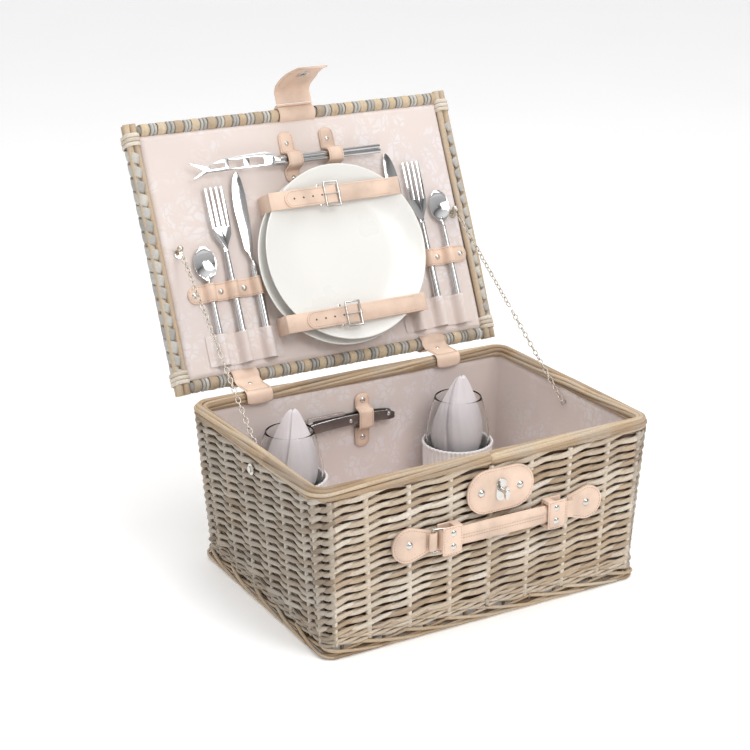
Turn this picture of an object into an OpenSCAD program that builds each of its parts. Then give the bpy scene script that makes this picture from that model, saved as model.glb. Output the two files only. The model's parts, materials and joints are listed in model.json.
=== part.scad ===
// Lined wicker picnic basket for two, shown open.
// The basket body stands on z = 0 with its centre line on the Z axis; its front faces -Y.
// Lid parts are laid out flat in lid coordinates: X across, Y from the hinge edge to the
// front edge, Z out of the lining. on_lid() carries them to the open lid.

/* [Basket] */
// Width over the rim border
rim_w = 400; // [360:1:440]
// Depth over the rim border
rim_d = 286; // [260:1:310]
// Height of the top of the rim
rim_top = 181.5; // [170:0.5:200]
// Thickness of the rolled rim border
rim_roll = 15; // [12:0.5:18]
// Width over the foot border
foot_w = 377; // [350:1:400]
// Depth over the foot border
foot_d = 281; // [260:1:300]
// Height of the foot border
foot_h = 12; // [8:1:16]
// Thickness of the woven wall
wall_t = 8; // [6:0.5:10]
// Thickness of the cotton lining
liner_t = 1.2; // [0.8:0.1:2]

/* [Lid] */
// Width of the lid
lid_w = 404; // [380:1:430]
// Length of the lid from its hinge edge to its front edge
lid_l = 296; // [280:1:310]
// Thickness of the lid frame rods
lid_rod = 15; // [12:0.5:18]
// Slope of the open lid above the horizontal, in degrees
lid_slope = 65.8; // [60:0.1:89]
// Height of the lid's hinge line above the base
hinge_z = 180.3; // [175:0.1:190]
// Distance of the hinge line behind the basket's centre
hinge_y = 152; // [150:0.5:156]
// Centre line of what the lid carries, right of the lid's middle
layout_x = 8; // [0:0.5:10]

/* [Tableware] */
// Radius of the dinner plates
plate_r = 97; // [90:1:104]
// Height of a plate
plate_h = 18; // [17:0.5:20]
// Height of a glass
glass_h = 130; // [120:1:132]
// Radius of a glass at its widest
glass_r = 36; // [32:0.5:37]
// Distance of each glass from the basket's centre line
glass_x = 106; // [100:1:112]
// Distance of the glasses behind the basket's centre
glass_y = 89; // [80:1:90]

/* [Front hardware] */
// Centre line of the clasp and the handle, right of the basket's middle
front_x = 8; // [0:0.5:10]
// Height of the clasp's centre
clasp_z = 142; // [138:0.5:143]
// Height of the handle's centre
handle_z = 105; // [95:0.5:106]
// Length of the handle's padded grip
grip_l = 146; // [130:1:150]

/* [Hidden] */
// Air kept between parts that do not touch
gap = 0.3;
wall_z0 = foot_h;
wall_z1 = rim_top - rim_roll;
floor_z = foot_h + 3;
// Step of the rim's squared roll
rim_round = 3;
foot_roll = 14;
body_r = 18;
// Where the lid's own origin lies from the hinge line, square to the lid and along it
lid_drop = 3.17;
lid_reach = 3.18;
// The lining board: its thickness, and the height of its face in lid coordinates
board_t = 3;
board_h = -3;
lid_thick = 20;
strap_w = 20;
leather = 1.8;
steel = 1.6;
rivet_r = 3.6;
chain_w = 3;
// The chain's two anchors, and how far up the chain its middle joint lies
chain_lid_u = 150;
chain_lid_dx = 174;
chain_lid_h = 8;
chain_body = [183, -4, 155];
chain_lower_l = 130;
// Half of the first link, left open for the eyebolt or the ball screw
chain_clear = 4.2;
// How far the D-rings stand off the wall, in degrees
ring_turn = 15;
$fn = 48;

WILLOW = "burlywood";
LEATHER = "tan";
COTTON = "thistle";
NICKEL = "silver";

// Half width and half depth of the woven wall's outer face at height z.
function wall_part(z) = (z - wall_z0) / (wall_z1 - wall_z0);
function wall_x(z) = foot_w / 2 - 2.5 + wall_part(z) * ((rim_w - foot_w) / 2 - 0.5);
function wall_y(z) = foot_d / 2 - 1.5 + wall_part(z) * ((rim_d - foot_d) / 2 + 0.3);
// A point in lid coordinates, carried to the open lid.
function lid_origin() = [0, hinge_y + lid_reach * cos(lid_slope) + lid_drop * sin(lid_slope),
  hinge_z + lid_reach * sin(lid_slope) - lid_drop * cos(lid_slope)];
function from_lid(p) = lid_origin() + [p.x,
  p.y * cos(lid_slope) - p.z * sin(lid_slope),
  p.y * sin(lid_slope) + p.z * cos(lid_slope)];

module on_lid() {
  translate(lid_origin()) rotate([lid_slope, 0, 0]) children();
}

module round_rect(w, d, r) {
  square([w - 2 * r, d], center = true);
  square([w, d - 2 * r], center = true);
  for (x = [-1, 1], y = [-1, 1])
    translate([x * (w / 2 - r), y * (d / 2 - r)]) circle(r);
}

// A flat strip w by d and t thick, its ends rounded, lying on z = 0.
module strip(w, d, t, r) {
  linear_extrude(t) round_rect(w, d, r);
}

// A tapered block that follows the woven wall, moved in by inset.
module wall_form(inset, z0, z1) {
  hull() for (z = [z0, z1 - 0.01])
    translate([0, 0, z]) linear_extrude(0.01)
      round_rect(2 * (wall_x(z) - inset), 2 * (wall_y(z) - inset), max(4, body_r - inset), $fn = 32);
}

// A domed rivet head standing on z = 0, with a shank below.
module rivet(r = rivet_r, h = 1.6, shank = 0) {
  rotate_extrude() intersection() {
    translate([0, h - (r * r + h * h) / (2 * h)]) circle((r * r + h * h) / (2 * h));
    square([r, h]);
  }
  if (shank > 0) translate([0, 0, -shank]) cylinder(h = shank, r = 1);
}

// A straight rod from a to b.
module rod(a, b, r) {
  d = b - a;
  translate(a) rotate([0, acos(d.z / norm(d)), atan2(d.y, d.x)]) cylinder(h = norm(d), r = r, $fn = 16);
}

/* ---- basket body ---- */

module basket_walls() {
  color(WILLOW) difference() {
    wall_form(0, wall_z0, wall_z1);
    wall_form(wall_t, wall_z0 - 1, wall_z1 + 1);
  }
}

module basket_base() {
  color(WILLOW) linear_extrude(floor_z)
    round_rect(foot_w - 2 * (foot_roll + gap), foot_d - 2 * (foot_roll + gap), 6);
}

// The rim is a squared ring whose edges step in, so that it reads as a roll of rods.
module rim_border() {
  color(WILLOW) for (in = [0, rim_round])
    translate([0, 0, wall_z1 + rim_round - in]) linear_extrude(rim_roll - 2 * (rim_round - in))
      difference() {
        round_rect(rim_w - 2 * in, rim_d - 2 * in, body_r - in);
        round_rect(rim_w - 2 * (rim_roll - in), rim_d - 2 * (rim_roll - in), 6);
      }
}

module foot_border() {
  color(WILLOW) linear_extrude(foot_h - 0.1) difference() {
    round_rect(foot_w, foot_d, body_r);
    round_rect(foot_w - 2 * foot_roll, foot_d - 2 * foot_roll, 6);
  }
}

module body_lining() {
  color(COTTON) difference() {
    wall_form(wall_t + gap, floor_z, wall_z1 - gap);
    wall_form(wall_t + gap + liner_t, floor_z + liner_t, wall_z1 + 1);
  }
}

lining_floor = floor_z + liner_t;

// Height of the pockets, and the radius of the elastic in their hems.
glass_pocket_h = 78;
hem_r = 1.9;
module glass_pockets() {
  color(COTTON) for (x = [-glass_x, glass_x])
    translate([x, glass_y, lining_floor]) rotate_extrude() {
      translate([glass_r + 2, 0]) square([liner_t, glass_pocket_h]);
      translate([glass_r + 2.9, glass_pocket_h - 3]) circle(hem_r);
    }
}

// Radius of the wine glass bowl at height z, less t.
bowl_z = 42;
stem_r = 2.8;
glass_rim_r = 26;
glass_t = 1.6;
glass_foot_r = 30;
function bowl_r(z, t) = let (s = (z - bowl_z) / (glass_h - bowl_z))
  s < 0.42 ? stem_r + (glass_r - stem_r - t) * sin(90 * pow(s / 0.42, 0.62))
  : glass_r - t - (glass_r - glass_rim_r) * pow((s - 0.42) / 0.58, 1.5);

// Foot, stem and bowl in one turned outline.
module glass() {
  rotate_extrude() polygon(concat([[0, 0], [glass_foot_r, 0], [glass_foot_r, glass_t],
    [12, 2.6], [3.2, 6], [2.6, 20], [stem_r, bowl_z]],
    [for (i = [1 : 11]) let (z = bowl_z + i * (glass_h - bowl_z) / 11) [bowl_r(z, 0), z]],
    [for (i = [11 : -1 : 1]) let (z = bowl_z + i * (glass_h - bowl_z) / 11) [bowl_r(z - glass_t, glass_t), z]],
    [[0, 46]]));
}

module napkin() {
  rotate_extrude() polygon(concat([[0, 60]],
    [for (i = [3 : 11]) let (z = bowl_z + i * (glass_h - bowl_z - 2) / 11) [bowl_r(z, 3.2), z]],
    [[17, glass_h + 8], [8, glass_h + 18], [2, glass_h + 23.5], [0, glass_h + 24]]));
}

module at_glass(side) translate([side * glass_x, glass_y, lining_floor + gap]) children();
module glass_left() { color("lightcyan", 0.4) at_glass(-1) glass(); }
module glass_right() { color("lightcyan", 0.4) at_glass(1) glass(); }
module napkin_left() { color("lavender") at_glass(-1) napkin(); }
module napkin_right() { color("lavender") at_glass(1) napkin(); }

/* ---- front hardware ---- */

// Places children flat against the front wall at height z, their Z axis pointing forward.
front_face = wall_y(wall_z1) + gap;
module on_front(x, z, out = 0) {
  translate([x, -front_face - out, z]) rotate([90, 0, 0]) children();
}

clasp_w = 78;
clasp_d = 46;
clasp_t = 2.4;
clasp_rivet_dx = 23;
shank_hole = 1.2;
module clasp_leather() {
  color(LEATHER) on_front(front_x, clasp_z) difference() {
    strip(clasp_w, clasp_d, clasp_t, clasp_d / 2 - 0.5);
    for (x = [-1, 1]) translate([x * clasp_rivet_dx, 0, -1]) cylinder(h = 5, r = shank_hole);
  }
}

module clasp_rivets() {
  color(NICKEL) for (x = [-1, 1])
    on_front(front_x + x * clasp_rivet_dx, clasp_z, clasp_t) rivet(4.2, 2.6, 2);
}

staple_h = 8.5;
module staple_plate() {
  color(NICKEL) on_front(front_x, clasp_z, clasp_t) {
    linear_extrude(1) round_rect(12, 24, 5.9);
    cylinder(h = staple_h, r = 2.4);
  }
}

module turn_button() {
  color(NICKEL) on_front(front_x, clasp_z, clasp_t + staple_h + gap) {
    linear_extrude(3) round_rect(4.6, 13.5, 2.25);
    cylinder(h = 3.6, r = 3);
  }
}

tab_x = grip_l / 2 + 6;
tab_t = 2.6;
tab_rivet_x = 26;
module tab_outline() {
  hull() {
    translate([27, 0]) circle(18, $fn = 32);
    translate([4, 0]) square([4, 22], center = true);
  }
}

module handle_tabs() {
  color(LEATHER) for (s = [-1, 1]) on_front(front_x + s * tab_x, handle_z)
    mirror([s < 0 ? 1 : 0, 0, 0]) difference() {
      union() {
        linear_extrude(tab_t) tab_outline();
        rotate([90, 0, 0]) translate([0, 4, -9]) difference() {
          union() {
            cylinder(h = 18, r = 4);
            translate([0, -4, 0]) cube([6, 8, 18]);
          }
          translate([0, 0, -1]) cylinder(h = 20, r = 2.2);
          translate([2, -1.4, -1]) cube([10, 2.8, 20]);
        }
      }
      translate([tab_rivet_x, 0, -1]) cylinder(h = 5, r = shank_hole);
    }
}

module handle_tab_rivets() {
  color(NICKEL) for (s = [-1, 1])
    on_front(front_x + s * (tab_x + tab_rivet_x), handle_z, tab_t) rivet(4, 2.4, 2.2);
}

// A D-ring hanging on its straight bar; the bow reaches inwards, away from the tab.
ring_bar = 24;
ring_reach = 13;
module d_ring(s) {
  on_front(front_x + s * tab_x, handle_z, 4) rotate([0, s * ring_turn, 0])
    mirror([s > 0 ? 1 : 0, 0, 0]) {
      translate([0, -ring_bar / 2, 0]) rotate([-90, 0, 0]) cylinder(h = ring_bar, r = steel / 2);
      for (y = [-1, 1]) {
        translate([0, y * ring_bar / 2, 0]) rotate([0, 90, 0]) cylinder(h = ring_reach, r = steel / 2);
        for (x = [0, ring_reach]) translate([x, y * ring_bar / 2, 0]) sphere(steel / 2);
      }
      translate([ring_reach, -ring_bar / 2, 0]) rotate([-90, 0, 0]) cylinder(h = ring_bar, r = steel / 2);
    }
}
module d_ring_left() { color(NICKEL) d_ring(-1); }
module d_ring_right() { color(NICKEL) d_ring(1); }

// The grip and its folded end caps stand off the wall on the D-rings.
grip_out = 6.6;
cap_l = 22;
cap_h = 30;
fold_h = 21;
cap_front = 13;
cavity = [2.1, 11.1];
module handle_grip() {
  color(LEATHER) on_front(front_x, handle_z, grip_out) rotate([0, 90, 0])
    translate([0, 0, -grip_l / 2 + cap_l - 4]) linear_extrude(grip_l - 2 * cap_l + 8) {
      for (y = [-1, 1]) translate([0, y * 6]) circle(4.2);
      square([5, 15], center = true);
    }
}

// Each cap is leather folded round the D-ring's bow: a front and a back flap joined at the outer end.
module handle_end_caps() {
  color(LEATHER) for (s = [-1, 1]) on_front(front_x + s * (grip_l / 2 - cap_l / 2), handle_z)
    mirror([s < 0 ? 1 : 0, 0, 0]) difference() {
      translate([-cap_l / 2, -cap_h / 2, -0.2]) cube([cap_l, cap_h, cap_front + 0.2]);
      translate([-cap_l / 2 - 1, -11, cavity[0]]) cube([cap_l / 2 + 1, 22, cavity[1] - cavity[0]]);
      translate([-2.4, -cap_h, cavity[0]]) cube([cap_l / 2 + 0.6, 2 * cap_h, cavity[1] - cavity[0]]);
      for (y = [-1, 1]) translate([cap_l / 2 - 2, y * cap_h / 2 - (y < 0 ? 2 : cap_h / 2 - fold_h / 2), cavity[0]])
        cube([4, cap_h / 2 - fold_h / 2 + 2, cavity[1] - cavity[0]]);
    }
}

module handle_cap_rivets() {
  color(NICKEL) for (s = [-1, 1], z = [-1, 1])
    on_front(front_x + s * (grip_l / 2 - cap_l / 2 - 1), handle_z + z * 7, cap_front) rivet(3.4, 1.4);
}

/* ---- corkscrew on the back wall ---- */

cork_x = -14;
cork_z = 128;
cork_l = 112;
back_face = wall_y(cork_z) - wall_t - gap - liner_t - 1.6;
// Children lie on the back lining, their Z axis pointing forward into the basket.
module on_back(x, z, out = 0) {
  translate([x, back_face - out, z]) rotate([90, 0, 0]) children();
}

strap_bridge = 12;
strap_rivets = [20, -24];
// Ends of the strap above and below the corkscrew; the upper one stops short of the closed plates.
strap_up = 27.5;
strap_down = 35;
module corkscrew_strap() {
  color(LEATHER) on_back(5, cork_z) {
    for (r = [[11, strap_up], [-strap_down, -11]]) difference() {
      translate([0, (r[0] + r[1]) / 2, 0]) linear_extrude(leather) round_rect(strap_w - 2, r[1] - r[0], 8);
      translate([0, r[0] > 0 ? strap_rivets[0] : strap_rivets[1], -1]) cylinder(h = 4, r = shank_hole);
    }
    for (s = [-1, 1]) translate([0, s * 10.4, strap_bridge / 2])
      cube([strap_w - 2, leather, strap_bridge], center = true);
    translate([0, 0, strap_bridge - leather / 2]) cube([strap_w - 2, 22.6, leather], center = true);
    for (y = strap_rivets) translate([0, y, leather]) rivet(3.4, 1.5);
  }
}

// Waiter's corkscrew: a steel channel whose two cheeks hold the worm, the lever and the blade.
cheek = 1.4;
cork_t = 9.6;
cork_end = cork_l / 2 - 7.5;
pin_r = 1.5;
module on_cork(x = 0, y = 0, z = 0) on_back(cork_x, cork_z, 0.4) translate([x, y, z]) children();

module corkscrew_handle() {
  color("dimgray") {
    on_cork() difference() {
      for (z = [0, cork_t - cheek]) translate([0, 0, z]) linear_extrude(cheek) round_rect(cork_l, 15, 7.4);
      for (x = [-cork_end, 0, cork_end]) translate([x, 1, -1]) cylinder(h = cork_t + 2, r = pin_r - 0.05);
    }
    on_cork(-cork_l / 2 + 14, 5, cheek / 2) cube([cork_l - 28, 2.4, cork_t - cheek]);
    for (x = [-cork_end, 0, cork_end]) on_cork(x, 1) cylinder(h = cork_t, r = pin_r);
  }
}

module corkscrew_eye(x, t) {
  translate([x, 1, cork_t / 2 - t / 2]) difference() {
    cylinder(h = t, r = 3.2);
    translate([0, 0, -1]) cylinder(h = t + 2, r = pin_r + 0.05);
  }
}

module corkscrew_worm() {
  color(NICKEL) on_cork() {
    corkscrew_eye(0, 3);
    translate([-2.6, 1, cork_t / 2]) rotate([0, -90, 0]) cylinder(h = 30, r1 = 1.4, r2 = 0.9);
    for (i = [0 : 4]) translate([-9 - i * 4.6, 1, cork_t / 2]) rotate([0, -90, 0]) cylinder(h = 2, r = 2.5);
  }
}

module corkscrew_lever() {
  color(NICKEL) on_cork() {
    corkscrew_eye(-cork_end, 4);
    translate([-cork_end - 2.6, 3.6, cork_t / 2 - 2]) cube([5.2, 8, 4]);
    translate([-cork_end - 2.6, 8.2, cork_t / 2 - 2]) cube([cork_end - 4, 3.4, 4]);
  }
}

module corkscrew_blade() {
  color(NICKEL) on_cork() {
    corkscrew_eye(cork_end, 1.6);
    translate([cork_end - 15, -3.4, cork_t / 2 - 0.8]) cube([12.4, 4, 1.6]);
  }
}

/* ---- check chains ---- */

function chain_top(s) = from_lid([s * chain_lid_dx + layout_x / 2, chain_lid_u, chain_lid_h]);
function chain_low(s) = [s * chain_body.x, chain_body.y, chain_body.z];
function chain_mid(s) = let (d = chain_top(s) - chain_low(s)) chain_low(s) + d * chain_lower_l / norm(d);

module chain_part(a, b) {
  d = (b - a) / norm(b - a);
  rod(a + d * chain_clear, b - d * 0.4, chain_w / 2);
}
module chain_left_lower() { color(NICKEL) chain_part(chain_low(-1), chain_mid(-1)); }
module chain_left_upper() { color(NICKEL) chain_part(chain_top(-1), chain_mid(-1)); }
module chain_right_lower() { color(NICKEL) chain_part(chain_low(1), chain_mid(1)); }
module chain_right_upper() { color(NICKEL) chain_part(chain_top(1), chain_mid(1)); }

module chain_eyebolts() {
  color(NICKEL) for (s = [-1, 1]) {
    translate([s * (wall_x(chain_body.z) + 2.4), chain_body.y, chain_body.z]) rotate([0, s * -90, 0])
      cylinder(h = wall_x(chain_body.z) + 2.4 - chain_body.x - 2.6, r = 1.5);
    translate([s * (wall_x(chain_body.z) + 0.2), chain_body.y, chain_body.z]) rotate([0, s * 90, 0]) {
      cylinder(h = 1, r = 6);
      translate([0, 0, 1]) cylinder(h = 2, r = 3.6, $fn = 6);
    }
    translate(chain_low(s)) rotate([90, 0, 0]) rotate_extrude() translate([2.6, 0]) circle(0.7);
  }
}

module chain_ball_screws() {
  color(NICKEL) on_lid() for (s = [-1, 1])
    translate([s * chain_lid_dx + layout_x / 2, chain_lid_u, board_h]) {
      cylinder(h = 2, r = 4.6);
      cylinder(h = chain_lid_h - board_h - 3, r = 1.3);
      translate([0, 4.6, chain_lid_h - board_h - 2]) sphere(3.6);
      translate([0, 0, 1]) cube([2, 5, 2]);
    }
}

/* ---- lid ---- */

module lid_panel() {
  color(WILLOW) on_lid() translate([0, lid_l / 2, -lid_thick + 2])
    linear_extrude(8) square([lid_w - 2 * lid_rod - 0.6, lid_l - 36], center = true);
}

module lid_cross_rod(u) {
  translate([-lid_w / 2 + lid_rod + 0.3, u, -lid_rod / 2 - 1]) rotate([0, 90, 0])
    cylinder(h = lid_w - 2 * lid_rod - 0.6, r = lid_rod / 2);
}
module lid_back_rod() { color(WILLOW) on_lid() lid_cross_rod(lid_rod / 2); }
module lid_front_rod() { color(WILLOW) on_lid() lid_cross_rod(lid_l - lid_rod / 2); }

module lid_side_rods() {
  color(WILLOW) on_lid() for (s = [-1, 1])
    translate([s * (lid_w - lid_rod) / 2, lid_l / 2, -lid_thick]) {
      linear_extrude(lid_thick) square([lid_rod - 2, lid_l], center = true);
      translate([0, 0, 2]) linear_extrude(lid_thick - 4) square([lid_rod, lid_l], center = true);
    }
}

module lid_lashings() {
  color(WILLOW) on_lid() for (s = [-1, 1], u = [18, lid_l - 18])
    translate([s * (lid_w - lid_rod) / 2, u, -lid_thick / 2]) rotate([90, 0, 0])
      translate([0, 0, -7]) linear_extrude(14) difference() {
        square([lid_rod + 3, lid_thick + 2.4], center = true);
        square([lid_rod + 0.2, lid_thick + 0.2], center = true);
      }
}

module lid_lining() {
  color(COTTON) on_lid() translate([0, lid_l / 2, board_h - board_t])
    linear_extrude(board_t) square([lid_w - 2 * lid_rod - 1, lid_l - 36], center = true);
}

/* ---- cutlery and its holders, all lying over the lid's lining ---- */

cutlery_h = 3;
knife_dx = 95.5;
fork_dx = 124.5;
spoon_dx = 151.5;
handle_u0 = 26;
loop_u = 103;
pocket_u0 = 23;
pocket_u1 = 57;

// A round tapered handle from handle_u0 to u1.
module cutlery_handle(u1, r0 = 4.6, r1 = 3) {
  translate([0, handle_u0, cutlery_h]) rotate([-90, 0, 0]) cylinder(h = u1 - handle_u0, r1 = r0, r2 = r1);
}

module knife() {
  cutlery_handle(124, 4.6, 4);
  translate([0, 124, cutlery_h]) rotate([-90, 0, 0]) cylinder(h = 5, r1 = 4, r2 = 1.4);
  translate([0, 0, cutlery_h - 0.8]) linear_extrude(1.6) polygon(concat(
    [[-1.6, 126], [-3, 136], [-7, 144]],
    [for (a = [0 : 15 : 90]) [-10 + 12.5 * (1 - cos(a)), 188 + 42 * sin(a)]],
    [[7, 200], [5, 160], [2, 140], [1.6, 126]]));
}

module fork() {
  cutlery_handle(145);
  translate([0, 0, cutlery_h - 0.9]) linear_extrude(1.8) {
    polygon([[-1.8, 143], [-3, 150], [-10, 163], [-11, 172], [11, 172], [10, 163], [3, 150], [1.8, 143]]);
    for (i = [0 : 3]) translate([-11 + i * 6.2, 171]) square([3.4, 45]);
  }
}

// The bowl is a slice of a spherical shell with a leaf-shaped outline.
bowl_ball = 40;
module spoon(l) {
  cutlery_handle(l - 42, 4.2, 2.4);
  translate([0, l - 44, cutlery_h - 0.6]) rotate([-90, 0, 0]) cylinder(h = 12, r1 = 2.4, r2 = 1.5);
  translate([0, l - 19, 0]) intersection() {
    translate([0, 0, -2]) linear_extrude(6) intersection() {
      translate([-8.9, 0]) circle(21.9);
      translate([8.9, 0]) circle(21.9);
    }
    difference() {
      translate([0, 0, bowl_ball - 0.6]) sphere(bowl_ball);
      translate([0, 0, bowl_ball + 1]) sphere(bowl_ball);
    }
  }
}

module on_layout(dx) on_lid() translate([layout_x + dx, 0, 0]) children();
module knife_left() { color(NICKEL) on_layout(-knife_dx) knife(); }
module knife_right() { color(NICKEL) on_layout(knife_dx) mirror([1, 0, 0]) knife(); }
module fork_left() { color(NICKEL) on_layout(-fork_dx) fork(); }
module fork_right() { color(NICKEL) on_layout(fork_dx) fork(); }
module spoon_left() { color(NICKEL) on_layout(-spoon_dx) spoon(154); }
module spoon_right() { color(NICKEL) on_layout(spoon_dx) spoon(180); }

/* ---- pockets and loops ---- */

// A fabric or leather arch over a handle at dx, open at both ends.
module sleeve(dx, u0, u1, r, t) {
  translate([dx, u1, cutlery_h]) rotate([90, 0, 0]) linear_extrude(u1 - u0) difference() {
    union() {
      circle(r + t);
      translate([-r - t, board_h - cutlery_h]) square([2 * (r + t), cutlery_h - board_h]);
    }
    circle(r);
    translate([-r, board_h - cutlery_h - 1]) square([2 * r, cutlery_h - board_h + 1]);
  }
}

// A flat run of the same material on the lining, from dx0 to dx1.
module flat_run(side, dx0, dx1, u0, u1, t) {
  translate([side > 0 ? dx0 : -dx1, u0, board_h]) cube([dx1 - dx0, u1 - u0, t]);
}

utensil_dx = [knife_dx, fork_dx, spoon_dx];
pocket_r = 5.4;
pocket_t = 0.8;
module cutlery_pockets() {
  color(COTTON) on_lid() translate([layout_x, 0, 0]) for (s = [-1, 1]) {
    for (dx = utensil_dx) sleeve(s * dx, pocket_u0, pocket_u1, pocket_r, pocket_t);
    for (i = [0 : 2]) flat_run(s, utensil_dx[i] + pocket_r,
      i < 2 ? utensil_dx[i + 1] - pocket_r : spoon_dx + 16, pocket_u0, pocket_u1, pocket_t);
  }
}

loop_rivet_dx = [78, 110, 138, 169];
loop_r = 4.7;
loop_t = 1.4;
module cutlery_loops() {
  color(LEATHER) on_lid() translate([layout_x, 0, 0]) for (s = [-1, 1]) {
    for (dx = utensil_dx) sleeve(s * dx, loop_u - strap_w / 2, loop_u + strap_w / 2, loop_r, loop_t);
    for (i = [0 : 3]) flat_run(s, i == 0 ? 70 : utensil_dx[i - 1] + loop_r,
      i == 3 ? 177 : utensil_dx[i] - loop_r, loop_u - strap_w / 2, loop_u + strap_w / 2, loop_t);
  }
}

cheese_u = 235;
cheese_h = 10;
cheese_loop_x = [-16, 35];
cheese_rivet_du = [-19, 20];
// Height of the loops' bridges over the lid's lining.
cheese_loop_rise = 18.5;
module cheese_knife_loops() {
  color(LEATHER) on_lid() for (i = [0, 1]) translate([cheese_loop_x[i], 0, board_h]) {
    for (u = [[cheese_u - 24, cheese_u - 7], [cheese_u + 7, cheese_u + 33]])
      translate([0, (u[0] + u[1]) / 2, 0]) linear_extrude(leather) round_rect(strap_w - 2, u[1] - u[0], 3);
    for (u = [-7.5, 7.5]) translate([0, cheese_u + u, cheese_loop_rise / 2])
      cube([strap_w - 2, leather, cheese_loop_rise], center = true);
    translate([0, cheese_u, cheese_loop_rise - leather / 2]) cube([strap_w - 2, 16.8, leather], center = true);
  }
}

module lid_rivets() {
  color(NICKEL) on_lid() {
    for (s = [-1, 1], dx = loop_rivet_dx)
      translate([layout_x + s * dx, loop_u, board_h + loop_t]) rivet(3.2, 1.6);
    for (x = cheese_loop_x, du = cheese_rivet_du)
      translate([x, cheese_u + du, board_h + leather]) rivet(3.2, 1.6);
  }
}

// Cheese knife: forked tip, pierced blade and a slim two-bar handle.
module cheese_knife() {
  color(NICKEL) on_lid() translate([0, cheese_u, cheese_h]) {
    for (u = [-2.6, 2.6]) translate([-32, u, 0]) rotate([0, 90, 0]) cylinder(h = 125, r = 2.5);
    translate([-33, -4, -1.5]) cube([124, 8, 3]);
    translate([-42, 0, 0]) rotate([0, 90, 0]) cylinder(h = 12, r = 5.6);
    translate([0, 0, -0.9]) linear_extrude(1.8) difference() {
      polygon([[-38, -4], [-38, 8], [-50, 11.5], [-100, 10], [-122, 3], [-142, 8.5], [-126, -1],
        [-141, -9], [-121, -4]]);
      for (x = [-62, -87, -109]) translate([x, 2.4]) square([18, x < -100 ? 6 : 9], center = true);
    }
  }
}

/* ---- plates and their straps ---- */

plate_u = 119;
plate_x = 12;
plate_step = 10;
module plate() {
  color("ivory") rotate_extrude($fn = 96) polygon([[0, 5], [50, 5], [50, 0], [55, 0], [58, 5], [66, 5.4],
    [88, 11], [plate_r, plate_h - 1.5], [plate_r, plate_h], [plate_r - 1.5, plate_h], [86, plate_h - 3.4],
    [64, 9], [0, 9]]);
}
module plate_back() { on_lid() translate([plate_x, plate_u, board_h + gap]) plate(); }
module plate_front() { on_lid() translate([plate_x + 6, plate_u + 4, board_h + gap + plate_step]) plate(); }

strap_top = board_h + gap + plate_step + plate_h + 0.5;
// Each strap: its distance from the hinge edge, and its left and right ends.
plate_strap = [[188, -65.2, 100], [53, -73.2, 102.5]];
function strap_side(l, r, t) = [[l + 2 - t, board_h], [l - t, 15], [l + 1 - t, strap_top + t],
  [r - 1 + t, strap_top + t], [r - 3 + t, 15], [r - 11 + t, board_h]];
module plate_straps() {
  color(LEATHER) on_lid() for (p = plate_strap)
    translate([0, p[0] + strap_w / 2, 0]) rotate([90, 0, 0]) linear_extrude(strap_w) difference() {
      polygon(strap_side(p[1], p[2], leather));
      translate([0, -0.01]) polygon(strap_side(p[1], p[2], 0));
    }
}

buckle_x = [11, 7.5];
buckle_l = 17;
buckle_w = 27;
buckle_r = 1.2;
module on_buckle(i) {
  on_lid() translate([buckle_x[i], plate_strap[i][0], strap_top + leather + 2.3]) children();
}
module buckle_frames() {
  color(NICKEL) for (i = [0, 1]) on_buckle(i) {
    for (u = [-1, 1]) translate([-buckle_l / 2, u * buckle_w / 2, 0]) rotate([0, 90, 0])
      cylinder(h = buckle_l, r = buckle_r);
    for (x = [-1, 1]) translate([x * buckle_l / 2, -buckle_w / 2, 0]) rotate([-90, 0, 0])
      cylinder(h = buckle_w, r = buckle_r);
    for (x = [-1, 1], u = [-1, 1]) translate([x * buckle_l / 2, u * buckle_w / 2, 0]) sphere(buckle_r);
    translate([-15.5, 0, -2.2]) linear_extrude(1) difference() {
      square([3, 24.6], center = true);
      square([1.2, 21], center = true);
    }
  }
}
module buckle_prong(i) {
  color(NICKEL) on_buckle(i) {
    translate([buckle_l / 2, 2, 0]) rotate([90, 0, 0]) difference() {
      cylinder(h = 4, r = 2.1);
      translate([0, 0, -1]) cylinder(h = 6, r = buckle_r + 0.06);
    }
    translate([-buckle_l / 2 - 1.5, 0, 2]) rotate([0, 90, 0]) cylinder(h = buckle_l + 0.2, r = 0.7);
  }
}
module buckle_prong_upper() { buckle_prong(0); }
module buckle_prong_lower() { buckle_prong(1); }

/* ---- leather across the hinge, and the hasp ---- */

hinge_strap_x = [-122, 116];
rod_u = lid_rod / 2;
rod_h = -lid_rod / 2 - 1;
hinge_strap_w = 31;
// Leather rolled round a lid rod: its outer and inner radius.
roll_out = lid_rod / 2 + 2.2;
roll_in = lid_rod / 2 + 0.4;
module hinge_straps() {
  rod_at = from_lid([0, rod_u, rod_h]);
  color(LEATHER) for (x = hinge_strap_x)
    translate([x - hinge_strap_w / 2, 0, 0]) rotate([90, 0, 90]) linear_extrude(hinge_strap_w) {
      translate([rod_at.y, rod_at.z]) difference() {
        circle(roll_out);
        circle(roll_in);
      }
      translate([rim_d / 2 - rim_roll - 2.2, rim_top + gap]) square([33, leather]);
      translate([rim_d / 2 - rim_roll - 2.2, wall_z1 + 1]) square([leather, rim_roll]);
    }
}

module hinge_strap_rivets() {
  color(NICKEL) for (x = hinge_strap_x)
    translate([x, hinge_y - 2, rim_top + gap + leather]) rivet(3.4, 1.5);
}

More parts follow.
